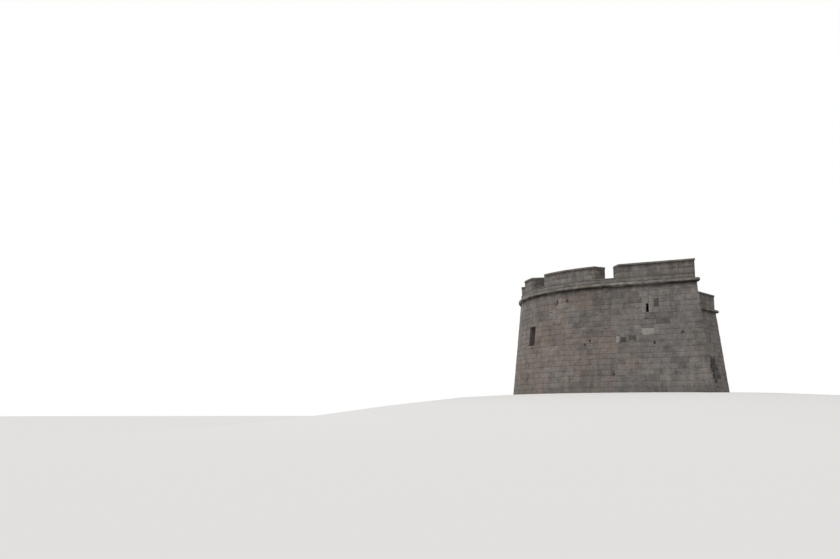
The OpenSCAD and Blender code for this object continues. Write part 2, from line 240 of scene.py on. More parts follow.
@dataclass(frozen=True)
class TowerPlan:
    """Driving sizes of the tower, in metres and radians, and the points of its plan."""

    front_r: float = 10.19
    flank_splay: float = math.radians(3.2)
    flank_l: float = 6.28
    horn_turn: float = math.radians(17.8)
    gate_w: float = 8.0
    wall_h: float = 8.05
    batter: float = 0.105
    gorge_batter: float = 0.065
    cordon_h: float = 0.3
    cordon_out: float = 0.2
    parapet_h: float = 1.45
    parapet_t: float = 0.85
    setback: float = 0.05
    breast_h: float = 0.3
    coping_h: float = 0.155
    coping_out: float = 0.05
    cheek_splay: float = 0.61
    sole_t: float = 0.1
    sole_rise: float = 0.15
    gaps: tuple[Gap, ...] = (Gap(20.6, 3.36), Gap(46.0, 1.94), Gap(85.0, 1.85))
    window_angle: float = math.radians(43.7)
    window_w: float = 0.9
    window_z: float = 4.0
    window_h: float = 1.55
    lintel_h: float = 0.35
    window_sill_h: float = 0.22
    bearing: float = 0.28
    loophole_back: float = 3.56
    loophole_z: float = 5.97
    loophole_h: float = 0.65
    loophole_w: float = 0.2
    loophole_jamb: float = 0.3
    upper_floor_z: float = 3.4
    door_w: float = 1.1
    door_spring: float = 1.55
    door_stone: float = 0.3
    door_sill_h: float = 0.2
    door_setback: float = 0.25
    door_leaf_t: float = 0.08

    @property
    def cordon_top(self) -> float:
        """Height of the cordon's upper side."""
        return self.wall_h + self.cordon_h

    @property
    def breast_top(self) -> float:
        """Height of the breast wall's upper side."""
        return self.cordon_top + self.breast_h

    @property
    def tower_h(self) -> float:
        """Height of the coping's upper side."""
        return self.cordon_top + self.parapet_h

    @property
    def coping_z(self) -> float:
        """Height of the coping's underside."""
        return self.tower_h - self.coping_h

    @property
    def parapet_in(self) -> float:
        """Offset of the parapet's inner face."""
        return -self.setback - self.parapet_t

    @property
    def arch_z(self) -> float:
        """Height at which the doorway's arch springs."""
        return self.upper_floor_z + self.door_spring

    @property
    def flank_n(self) -> Vector:
        """Outward direction of the left flank."""
        return Vector((-math.cos(self.flank_splay), math.sin(self.flank_splay)))

    @property
    def horn_n(self) -> Vector:
        """Outward direction of the left horn's inner face."""
        return Vector((math.sin(self.horn_turn), -math.cos(self.horn_turn)))

    @property
    def horn_tip(self) -> Vector:
        """Tip of the left horn at offset 0."""
        along = Vector((-math.sin(self.flank_splay), -math.cos(self.flank_splay)))
        return self.front_r * self.flank_n + self.flank_l * along

    @property
    def gate_c(self) -> float:
        """Distance of the gate wall from the origin."""
        face_l = (-self.gate_w / 2 - self.horn_tip.x) / math.cos(self.horn_turn)
        return -self.horn_tip.y - face_l * math.sin(self.horn_turn)

    def wall_face(self, z: float) -> float:
        """Return the offset of the leaning outer face at a height."""
        return self.batter * (self.wall_h - z)

    def gorge_face(self, z: float) -> float:
        """Return the offset of the steeper faces between the horns at a height."""
        return self.gorge_batter * (self.wall_h - z)

    def corner_at(self, flank_offset: float, horn_offset: float) -> Vector:
        """Return where the left flank at one offset meets the horn's inner face at another."""
        horn_c = self.horn_n.dot(self.horn_tip) + horn_offset
        return meet(self.flank_n, self.front_r + flank_offset, self.horn_n, horn_c)

    def turn_at(self, offset: float) -> Vector:
        """Return the left point where round wall and flank join."""
        return (self.front_r + offset) * self.flank_n

    def tip_at(self, offset: float) -> Vector:
        """Return the tip of the left horn at an offset."""
        return self.corner_at(offset, offset)

    def gate_at(self, offset: float) -> Vector:
        """Return the left point where the horn's inner face and the gate wall join."""
        horn_c = self.horn_n.dot(self.horn_tip) + offset
        return meet(self.horn_n, horn_c, Vector((0, -1)), self.gate_c + offset)

    def gate_end_at(self, offset: float) -> Vector:
        """Return the right point where the horn's inner face and the gate wall join."""
        return Side.RIGHT.point(self.gate_at(offset), 0).xy

    def round(self) -> RoundRun:
        """Return the round wall's run."""
        return RoundRun(self.front_r, math.pi / 2 - self.flank_splay)

    def flank(self, side: Side) -> StraightRun:
        """Return the run of a flank, from the round wall to the tip."""
        return self._run(self.turn_at, self.tip_at, self.flank_n, side)

    def horn(self, side: Side) -> StraightRun:
        """Return the run of a horn's inner face, from the tip to the gate wall."""
        return self._run(self.tip_at, self.gate_at, self.horn_n, side)

    def gate(self) -> StraightRun:
        """Return the run of the gate wall, from left to right."""
        return self._run(self.gate_at, self.gate_end_at, Vector((0, -1)), Side.LEFT)

    def runs(self) -> list[Run]:
        """Return the runs of all the walls."""
        pairs = [make(side) for make in (self.flank, self.horn) for side in Side]
        return [self.round(), self.gate(), *pairs]

    def _run(self, start: Callable[[float], Vector], end: Callable[[float], Vector], normal: Vector,
             side: Side) -> StraightRun:
        """Build the run between two corners.

        Args:
            start: Where it starts on the left side, at an offset.
            end: Where it ends on the left side, at an offset.
            normal: Its outward direction on the left side.
            side: Side that it is wanted for.

        Returns:
            The run.
        """
        along = (end(0) - start(0)).normalized()
        slopes = [(corner(1) - corner(0)).dot(along) for corner in (start, end)]
        run = StraightRun(start(0), along, normal, (end(0) - start(0)).length, *slopes)
        return run if side is Side.LEFT else run.mirrored()

    def window_bands(self, way: int) -> tuple[Band, Band, Band]:
        """Give the bands of a window on the round wall.

        Args:
            way: 1 for the left window, -1 for the right one.

        Returns:
            The bands of its sill, its opening and its lintel.
        """
        s, half = way * self.window_angle * self.front_r, self.window_w / 2
        wide = half + self.bearing
        foot, top = self.window_z, self.window_z + self.window_h
        return ((s - wide, s + wide, foot - self.window_sill_h, foot), (s - half, s + half, foot, top),
                (s - wide, s + wide, top, top + self.lintel_h))

    def cheek(self, gap: Gap, way: int, back: float, out: float) -> Vector:
        """Give a point of an embrasure's cheek.

        Args:
            gap: The embrasure.
            way: 1 for the cheek further to the left, -1 for the other.
            back: Depth behind the embrasure's outer corners.
            out: How far the point stands out past the cheek.

        Returns:
            The point of the plan.
        """
        r = self.front_r - self.setback
        slope = self.cheek_splay / self.parapet_t
        y = math.sqrt(r * r - gap.width * gap.width / 4) - back
        x = way * (gap.width / 2 - slope * back - out * math.hypot(1, slope))
        a = math.radians(gap.angle)
        return Vector((-x * math.cos(a) - y * math.sin(a), -x * math.sin(a) + y * math.cos(a)))


@dataclass(frozen=True)
class StoneCut:
    """How a stone is cut, in metres.

    A stone's corners wander in full from the full size up, and its face is pillowed from the broad
    size up, over the pillow's rim.
    """

    joint: float = 0.005
    short: float = 0.45
    long: float = 1.15
    proud: Pair = (0.006, 0.013)
    sink: float = 0.03
    arris: float = 0.004
    arris_slope: float = 0.8
    pillow: float = 0.004
    pillow_rim: float = 0.05
    wander: float = 0.007
    tilt: float = 0.4
    full: Pair = (0.5, 0.4)
    broad: float = 0.2


@dataclass(frozen=True)
class Patch:
    """A stone that differs from its wall: its band, its kind from 0, dark, to 1, pale, and its warmth. Kind 0
    paints the shade of a hole onto a flush stone.
    """

    band: Band
    kind: float
    warmth: float | None = None

    def holds(self, s: float, z: float) -> bool:
        """Return whether a point of the wall lies in the band."""
        return self.band[0] < s < self.band[1] and self.band[2] < z < self.band[3]


class StoneSet:
    """One piece that is made of many separate closed stones."""

    def __init__(self, name: str, slot: Slot, seed: int, cut: StoneCut = StoneCut()) -> None:
        """Start an empty set.

        Args:
            name: Name of the finished object.
            slot: Material slot that it takes its finish from.
            seed: Seed of its own random draws.
            cut: How its stones are cut.
        """
        self.name = name
        self.slot = slot
        self.cut = cut
        self.rng = random.Random(seed)
        self.bm = bmesh.new()
        self.layer = self.bm.loops.layers.float_color.new(STONE)
        self.fronts: list[bmesh.types.BMFace] = []
        self.broad: list[bmesh.types.BMFace] = []
        self.edges: list[bmesh.types.BMEdge] = []
        self.count = 0

    def tint(self, tone: float | None = None, kind: float = 0.5, warmth: float | None = None) -> Tint:
        """Give a stone's tint.

        Args:
            tone: How light it is, drawn where it isn't given.
            kind: 0.5 for plain stone, down to 0 for a dark one, where 0 paints the shade of a hole, and up to
                1 for a pale repair.
            warmth: How warm its colour is, drawn where it isn't given.

        Returns:
            Its tone, its warmth, its kind and a free number.
        """
        drawn = [min(1.0, max(0.0, self.rng.gauss(0.5, TINT_SWING))) for _ in range(2)]
        tone, warmth = (value if given is None else given for value, given in zip(drawn, (tone, warmth)))
        return tone, warmth, kind, self.rng.random()

    def paint(self, verts: Sequence[bmesh.types.BMVert], tint: Tint) -> list[bmesh.types.BMFace]:
        """Give a stone its tint.

        Args:
            verts: The stone's corners.
            tint: The tint.

        Returns:
            The stone's faces.
        """
        faces = list(dict.fromkeys(f for v in verts for f in v.link_faces))
        for face in faces:
            for loop in face.loops:
                loop[self.layer] = tint
        self.count += 1
        return faces

    def _cube(self, thirds: bool) -> list[bmesh.types.BMVert]:
        """Add a cube from -1 to 1.

        Args:
            thirds: Whether it is cut in thirds along X, to follow a curve.

        Returns:
            Its corners.
        """
        verts = bmesh.ops.create_cube(self.bm, size=2.0)["verts"]
        for x in (-1 / 3, 1 / 3) if thirds else ():
            links = (*(e for v in verts for e in v.link_edges), *(f for v in verts for f in v.link_faces))
            cut_up = bmesh.ops.bisect_plane(self.bm, geom=[*verts, *dict.fromkeys(links)], dist=TOUCH,
                                            plane_co=(x, 0, 0), plane_no=(1, 0, 0))
            found = (*cut_up["geom"], *cut_up["geom_cut"])
            verts = list(dict.fromkeys(g for g in found if isinstance(g, bmesh.types.BMVert)))
        return verts

    def facing(self, run: Run, face: Face, band: Band, tint: Tint | None = None) -> None:
        """Lay one stone against a wall.

        Args:
            run: Stretch of wall that it lies on.
            face: Offset of the wall's face at a height.
            band: Start and end along the run, bottom and top.
            tint: Its tint, drawn where it isn't given.
        """
        cut, rng = self.cut, self.rng
        s0, s1, z0, z1 = band
        half = cut.joint / 2
        proud = rng.uniform(*cut.proud)
        wander = cut.wander * min(1.0, (s1 - s0) / cut.full[0], (z1 - z0) / cut.full[1])
        shake = {(u, w): [rng.uniform(-1, 1) * wander for _ in range(3)] for u in (0, 1) for w in (0, 1)}
        verts = self._cube(isinstance(run, RoundRun))
        outer = set()
        for vert in verts:
            u, v, w = (vert.co.x + 1) / 2, vert.co.y > 0, int(vert.co.z > 0)
            ds, dz, dout = (a + (b - a) * u for a, b in zip(shake[0, w], shake[1, w]))
            z = (z1 - half + dz) if w else (z0 + (half + dz if z0 > 0 else 0.0))
            offset = face(z) + (proud + dout * cut.tilt if v else -cut.sink)
            start, end = run.span((s0, s1), offset, half + ds)
            vert.co = run.place(start + (end - start) * u, offset, z)
            if v:
                outer.add(vert)
        faces = self.paint(verts, tint or self.tint())
        fronts = [f for f in faces if all(v in outer for v in f.verts)]
        self.fronts += fronts
        if min(s1 - s0, z1 - z0) > cut.broad:
            self.broad += fronts

    def prism(self, rings: Sequence[Sequence[Vector]], tint: Tint | None = None) -> None:
        """Add one block that runs from outline to outline.

        Args:
            rings: Corners of each outline, in the same order. Where there are more than two, only the
                rims of the two ends are chamfered.
            tint: Its tint, drawn where it isn't given.
        """
        sides = len(rings[0])
        low = bmesh.ops.create_circle(self.bm, cap_ends=True, segments=sides, radius=1.0)["verts"]
        spots = [v.co.copy() for v in low]
        levels, bottom = [low], low[0].link_faces[0]
        cap = bottom
        for level in range(1, len(rings)):
            grown = bmesh.ops.extrude_face_region(self.bm, geom=[cap], use_keep_orig=level == 1)["geom"]
            cap = next(g for g in grown if isinstance(g, bmesh.types.BMFace))
            found = [g for g in grown if isinstance(g, bmesh.types.BMVert)]
            found.sort(key=lambda v: min(range(sides), key=lambda i: (spots[i] - v.co).length))
            levels.append(found)
        for verts, ring in zip(levels, rings):
            for vert, point in zip(verts, ring):
                vert.co = point
        faces = self.paint([v for verts in levels for v in verts], tint or self.tint())
        trimmed = faces if len(rings) == 2 else [bottom, cap]
        self.edges += list(dict.fromkeys(e for f in trimmed for e in f.edges))

    def finish(self) -> Piece:
        """Chamfer the stones and make the object.

        Returns:
            The finished piece.
        """
        cut = self.cut
        bmesh.ops.recalc_face_normals(self.bm, faces=self.bm.faces[:])
        if self.edges:
            bmesh.ops.bevel(self.bm, geom=self.edges, offset=cut.arris, affect="EDGES", segments=2,
                            profile=0.5, material=-1, clamp_overlap=False)
        insets = ((self.fronts, cut.arris, cut.arris * cut.arris_slope),
                  (self.broad, cut.pillow_rim, cut.pillow))
        for faces, thickness, depth in insets if self.fronts else ():
            bmesh.ops.inset_region(self.bm, faces=faces, thickness=thickness, depth=depth,
                                   use_boundary=True, use_even_offset=True)
        for face in self.bm.faces:
            face.smooth = True
        piece = linked(self.name, self.bm)
        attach(piece, "root")
        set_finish(piece, self.slot.value)
        triangles = sum(len(p.vertices) - 2 for p in piece.data.polygons)
        log.info("%s: %d stones, %d triangles", self.name, self.count, triangles)
        return piece


def linked(name: str, bm: bmesh.types.BMesh) -> Piece:
    """Make an object of the scene from a finished shape.

    Args:
        name: Name of the object and of its mesh.
        bm: The shape, which is freed.

    Returns:
        The object.
    """
    mesh = bpy.data.meshes.new(name)
    bm.to_mesh(mesh)
    bm.free()
    made = bpy.data.objects.new(name, mesh)
    bpy.context.scene.collection.objects.link(made)
    return made


def divided(start: float, end: float, shares: Sequence[float]) -> list[float]:
    """Divide a length in proportion to some shares.

    Args:
        start: Where it starts.
        end: Where it ends.
        shares: The shares, in order.

    Returns:
        The points of division, with both ends.
    """
    points = [start]
    for share in shares[:-1]:
        points.append(points[-1] + share / sum(shares) * (end - start))
    return [*points, end]


def bond(start: float, end: float, cut: StoneCut, rng: random.Random,
         below: Sequence[float] = ()) -> list[float]:
    """Divide a stretch of a course into stones whose joints keep clear of the course below.

    Args:
        start: Where the stretch starts.
        end: Where the stretch ends.
        cut: How the stones are cut.
        rng: Source of the random draws.
        below: Joints of the course below.

    Returns:
        The joints, with both ends.
    """
    usual = (cut.short + cut.long) / 2
    count = max(1, round((end - start) / rng.uniform(usual - BOND_SLACK, usual + BOND_SLACK)))
    best, clear = [start, end], -1.0
    for _ in range(BOND_TRIES):
        joints = divided(start, end, [rng.uniform(cut.short, cut.long) for _ in range(count)])
        gap = min((abs(a - b) for a in joints[1:-1] for b in below), default=1.0)
        if gap > clear:
            best, clear = joints, gap
    return best


def mitred(joints: Sequence[float]) -> list[float]:
    """Return the joints of a course with a mitre at both ends."""
    return [-END, *joints[1:-1], END]


def courses(levels: Sequence[float], height: float, rng: random.Random) -> list[float]:
    """Divide the heights between fixed levels into courses of uneven height.

    Args:
        levels: Heights that have to be the top of a course.
        height: Usual height of a course.
        rng: Source of the random draws.

    Returns:
        The heights of all the bed joints, from the lowest to the highest.
    """
    beds = [levels[0]]
    for low, high in pairwise(levels):
        count = max(1, round((high - low) / height))
        shares = [rng.uniform(1 - COURSE_SWING, 1 + COURSE_SWING) for _ in range(count)]
        beds += divided(low, high, shares)[1:]
    return beds


def open_stretches(ends: Pair, course: Pair, blocks: Sequence[Band]) -> tuple[list[Pair], list[Band]]:
    """Find what an opening and its dressed stones leave free in a course.

    Args:
        ends: Where the course starts and ends.
        course: Bottom and top of the course.
        blocks: Bands that are taken by openings and dressed stones.

    Returns:
        The stretches that are free over the whole course, and the bands that are free over a part of it.
    """
    (start, end), (low, high) = ends, course
    near = [b for b in blocks if b[2] < high - TOUCH and b[3] > low + TOUCH and b[0] < end and b[1] > start]
    if not near:
        return [ends], []
    free, parts = [], []
    for a, b in pairwise(sorted({start, end, *(c for k in near for c in k[:2])})):
        taken = sorted((max(low, k[2]), min(high, k[3])) for k in near if k[0] < (a + b) / 2 < k[1])
        if not taken:
            free.append((a, b))
            continue
        z = low
        for t0, t1 in [*taken, (high, high)]:
            if t0 - z > THIN:
                parts.append((a, b, z, t0))
            z = max(z, t1)
    return free, parts


def snapped(band: Band, beds: Sequence[float]) -> Band:
    """Return a band whose bottom and top move to a bed joint that is near."""
    nearest = [min(beds, key=lambda bed: abs(bed - z)) for z in band[2:]]
    return (*band[:2], *(bed if abs(bed - z) < SNAP else z for bed, z in zip(nearest, band[2:])))


def clipped(points: Sequence[Vector], start: Vector, way: Vector) -> list[Vector]:
    """Cut a convex outline of the plan along a line.

    Args:
        points: Corners of the outline, in order.
        start: A point of the line.
        way: Direction along the line. What lies on its left is kept.

    Returns:
        The corners of what is kept.
    """
    kept = []
    depths = [way.x * (p.y - start.y) - way.y * (p.x - start.x) for p in points]
    for i, (p, depth) in enumerate(zip(points, depths)):
        last = depths[i - 1]
        if (depth > 0) != (last > 0):
            kept.append(points[i - 1].lerp(p, last / (last - depth)))
        if depth > 0:
            kept.append(p)
    return kept


# Height, least length and lengths of rubble stones, as shares of their usual length, and their looks
RUBBLE_HEIGHT = 0.6
RUBBLE_LEAST = 0.4
RUBBLE_LENGTHS = (0.7, 1.5)
# The dark kinds are partly the rubble's own colour and growth, and partly painted shade
RUBBLE_KINDS = (0.02, 0.08, 0.14, 0.22)
RUBBLE_WARMTH = 0.2


def rubble(band: Band, size: float, seed: int) -> tuple[Patch, ...]:
    """Fill a band with small dark stones, as a rough repair. Their darkness is partly their own colour and
    growth, and partly painted shade of the rough patch.

    Args:
        band: Start and end along the run, bottom and top.
        size: Usual length of a stone.
        seed: Seed of the random draws.

    Returns:
        The stones.
    """
    rng = random.Random(seed)
    stones = []
    for low, high in pairwise(courses(band[2:], size * RUBBLE_HEIGHT, rng)):
        s = band[0] + rng.uniform(0.0, RUBBLE_LEAST) * size
        while s < band[1] - RUBBLE_LEAST * size:
            end = min(band[1], s + rng.uniform(*RUBBLE_LENGTHS) * size)
            stones.append(Patch((s, end, low, high), rng.choice(RUBBLE_KINDS), RUBBLE_WARMTH))
            s = end
    return tuple(stones)


# Patches of kind 0 are painted shade of putlog holes, laid as flush near-black stones
FLANK_PATCHES = (
    Patch((0.36, 0.62, 3.72, 4.28), 0.96), Patch((2.26, 3.19, 4.22, 4.76), 0.87),
    Patch((0.74, 1.1, 3.82, 4.12), 0.1), Patch((1.3, 1.84, 3.9, 4.2), 0.14),
    Patch((3.22, 3.56, 6.4, 6.96), 0.12, 0.1), Patch((2.86, 3.1, 6.68, 7.1), 0.7),
    Patch((4.14, 4.58, 6.8, 7.46), 0.5, 1.0), Patch((3.1, 3.26, 3.56, 3.72), 0.0),
    Patch((0.1, 0.26, 1.26, 1.42), 0.0), Patch((5.1, 5.3, 4.3, 4.46), 0.1),
)
FLANK_STAINS = (
    Patch((1.3, 2.5, 6.9, 7.6), 0.31), Patch((2.9, 4.7, 5.2, 6.0), 0.27), Patch((2.7, 3.6, 1.0, 1.6), 0.3),
    Patch((4.4, 5.7, 1.9, 2.4), 0.3), Patch((-0.3, 0.4, 1.0, 1.6), 0.3), Patch((0.2, 0.9, 6.6, 7.1), 0.33),
    Patch((3.6, 4.6, 3.0, 3.5), 0.33), Patch((5.2, 6.2, 3.4, 4.3), 0.34), Patch((1.5, 2.3, 2.3, 2.8), 0.34),
)
ROUND_PATCHES = (
    Patch((13.75, 13.91, 3.9, 4.06), 0.0), Patch((13.38, 13.53, 3.62, 3.77), 0.0),
    Patch((10.72, 10.86, 7.0, 7.48), 0.05), Patch((10.94, 11.2, 7.25, 7.6), 0.72),
    Patch((11.7, 11.9, 7.16, 7.4), 0.05), Patch((9.9, 10.3, 6.2, 6.5), 0.2),
)
ROUND_STAINS = (
    Patch((8.6, 9.9, 5.9, 6.6), 0.32), Patch((11.2, 12.0, 3.2, 3.7), 0.33),
    Patch((12.6, 13.4, 4.9, 5.7), 0.32), Patch((13.9, 14.9, 6.6, 7.3), 0.34),
    Patch((9.2, 9.9, 2.1, 2.6), 0.34), Patch((12.9, 14.6, 1.4, 2.0), 0.34),
    Patch((10.3, 11.4, 6.5, 7.0), 0.66),
)
HORN_PATCHES = (
    *rubble((1.5, 2.7, 3.1, 3.75), 0.34, 5), *rubble((0.95, 2.95, 2.3, 3.1), 0.36, 6),
    *rubble((0.65, 2.6, 1.75, 2.3), 0.3, 7), Patch((1.6, 2.3, 1.35, 1.72), 0.1, 0.2),
    Patch((1.6, 1.86, 0.86, 1.08), 0.0), Patch((2.0, 2.5, 5.1, 5.5), 0.25), Patch((2.2, 2.7, 6.2, 6.6), 0.28),
)


@dataclass(frozen=True)
class Wall:
    """One wall to be faced.

    The ends of its courses come from the course's number. Blocks are bands taken by openings and
    dressed stones, patches are later stones set into it, and stones in a stain differ from the others.
    """

    run: Run
    face: Face
    ends: Callable[[int], Pair] = lambda number: (-END, END)
    blocks: Sequence[Band] = ()
    patches: Sequence[Patch] = ()
    stains: Sequence[Patch] = ()


@dataclass
class WallFacing:
    """The coursed stones of the leaning walls, with what the openings leave out."""

    plan: TowerPlan
    cut: StoneCut = StoneCut()
    course_h: float = 0.425
    quoin_long: float = 0.95
    quoin_short: float = 0.52
    quoin_proud: Pair = (0.016, 0.03)
    quoin_t: float = 0.4
    stain_swing: float = 0.05
    beds: list[float] = field(default_factory=list)

    def __post_init__(self) -> None:
        """Set out the bed joints, which run through all the walls."""
        sill, _, lintel = self.plan.window_bands(1)
        self.beds = courses([0.0, sill[2], lintel[3], self.plan.wall_h], self.course_h, random.Random(11))

    def build(self) -> list[Piece]:
        """Build the facing of all the walls.

        Returns:
            Its pieces.
        """
        plan = self.plan
        windows = [band for way in (1, -1) for band in plan.window_bands(way)]
        front = Wall(plan.round(), plan.wall_face, blocks=windows, patches=ROUND_PATCHES, stains=ROUND_STAINS)
        pieces = [self._lay("round_wall_stones", Slot.ROUND, 21, front)]
        for side in Side:
            word, left = side.name.lower(), side is Side.LEFT
            flank = Wall(plan.flank(side), plan.wall_face, lambda n: (-END, self._quoin_edge(n, True)),
                         self._loophole_blocks(), *((FLANK_PATCHES, FLANK_STAINS) if left else ()))
            horn = Wall(plan.horn(side), plan.gorge_face, lambda n: (self._quoin_edge(n, False), END),
                        patches=() if left else HORN_PATCHES)
            pieces += [self._lay(f"{word}_flank_stones", Slot.FLANK, 31 + side.value, flank),
                       self._lay(f"{word}_horn_stones", Slot.FLANK, 41 + side.value, horn),
                       self._quoins(side)]
        gate = Wall(plan.gate(), plan.gorge_face, blocks=self._door_blocks())
        return [*pieces, self._lay("gate_wall_stones", Slot.FLANK, 51, gate)]

    def _loophole_blocks(self) -> list[Band]:
        """Find the bands that a loophole and its jambs take on a flank.

        Returns:
            Their one band, in a list.
        """
        plan = self.plan
        s, half = plan.flank_l - plan.loophole_back, plan.loophole_w / 2 + plan.loophole_jamb
        return [snapped((s - half, s + half, plan.loophole_z, plan.loophole_z + plan.loophole_h), self.beds)]

    def _door_blocks(self) -> list[Band]:
        """Find the bands that the doorway takes on the gate wall.

        Returns:
            The band up to the arch, and the arch in steps.
        """
        plan = self.plan
        middle, half, spring = plan.gate_w / 2, plan.door_w / 2 + plan.door_stone, plan.arch_z
        blocks = [(middle - half, middle + half, plan.upper_floor_z - plan.door_sill_h, spring)]
        for low, high in pairwise(self.beds):
            if high > spring and low < spring + half:
                chord = math.sqrt(max(0.0, half ** 2 - max(0.0, low - spring) ** 2))
                blocks.append((middle - chord, middle + chord, max(low, spring), min(high, spring + half)))
        return blocks

    def _lay(self, name: str, slot: Slot, seed: int, wall: Wall) -> Piece:
        """Lay all the courses of one wall.

        Args:
            name: Name of the piece.
            slot: Its material slot.
            seed: Seed of its random draws.
            wall: The wall.

        Returns:
            The piece.
        """
        stones = StoneSet(name, slot, seed, self.cut)
        patches = [replace(patch, band=snapped(patch.band, self.beds)) for patch in wall.patches]
        blocks = [*wall.blocks, *(patch.band for patch in patches)]
        below: list[float] = []
        for number, course in enumerate(pairwise(self.beds)):
            offset = wall.face(sum(course) / 2)
            ends = {wall.run.reach(end, offset): end for end in wall.ends(number)}
            free, parts = open_stretches(tuple(ends), course, blocks)
            joints = []
            for stretch in free:
                found = bond(*stretch, self.cut, stones.rng, below)
                joints += found[1:-1]
                for pair in pairwise(found):
                    self._stone(stones, wall, (*pair, *course), ends)
            for band in parts:
                self._stone(stones, wall, band, ends)
            below = joints
        for patch in patches:
            stones.facing(wall.run, wall.face, patch.band, stones.tint(kind=patch.kind, warmth=patch.warmth))
        return stones.finish()

    def _stone(self, stones: StoneSet, wall: Wall, band: Band, ends: dict[float, float]) -> None:
        """Lay one stone, tinted where it lies in a stain.

        Args:
            stones: Set that it goes to.
            wall: Wall that it lies on.
            band: Its band.
            ends: What the two ends of the course are built to, by where they are.
        """
        s0, s1, low, high = band
        tint = stones.tint()
        for stain in wall.stains:
            if stain.holds((s0 + s1) / 2, (low + high) / 2):
                swing = stones.rng.uniform(-self.stain_swing, self.stain_swing)
                tint = stones.tint(kind=stain.kind + swing, warmth=stain.warmth)
        stones.facing(wall.run, wall.face, (ends.get(s0, s0), ends.get(s1, s1), low, high), tint)

    def _quoin_edge(self, number: int, on_flank: bool) -> float:
        """Find where a course's corner stone ends.

        Args:
            number: Number of the course.
            on_flank: Whether the end on the flank is wanted, or that on the horn's inner face.

        Returns:
            The distance along the flank or the inner face.
        """
        plan, z = self.plan, (self.beds[number] + self.beds[number + 1]) / 2
        corner = plan.corner_at(plan.wall_face(z), plan.gorge_face(z))
        run, way = (plan.flank(Side.LEFT), -1) if on_flank else (plan.horn(Side.LEFT), 1)
        reach = self.quoin_long if (number % 2 == 0) == on_flank else self.quoin_short
        return run.locate(corner)[0] + way * reach

    def _quoins(self, side: Side) -> Piece:
        """Build the corner stones of a horn.

        Args:
            side: Side of the tower.

        Returns:
            Their piece.
        """
        plan, half = self.plan, self.cut.joint / 2
        flank, horn = plan.flank(side), plan.horn(side)
        stones = StoneSet(f"{side.name.lower()}_horn_quoins", Slot.FLANK, 61 + side.value, self.cut)
        for number, (low, high) in enumerate(pairwise(self.beds)):
            ends = self._quoin_edge(number, True) + half, self._quoin_edge(number, False) - half
            proud = stones.rng.uniform(*self.quoin_proud)
            rings = []
            for z in (low + half if low > 0 else 0.0, high - half):
                outer, inner = plan.wall_face(z) + proud, plan.gorge_face(z) + proud
                tip = plan.corner_at(outer, inner)
                core = plan.corner_at(outer - self.quoin_t, inner - self.quoin_t)
                rings.append([flank.place(ends[0], outer, z), side.point(tip, z),
                              horn.place(ends[1], inner, z), side.point(core, z)])
            stones.prism(rings)
        return stones.finish()


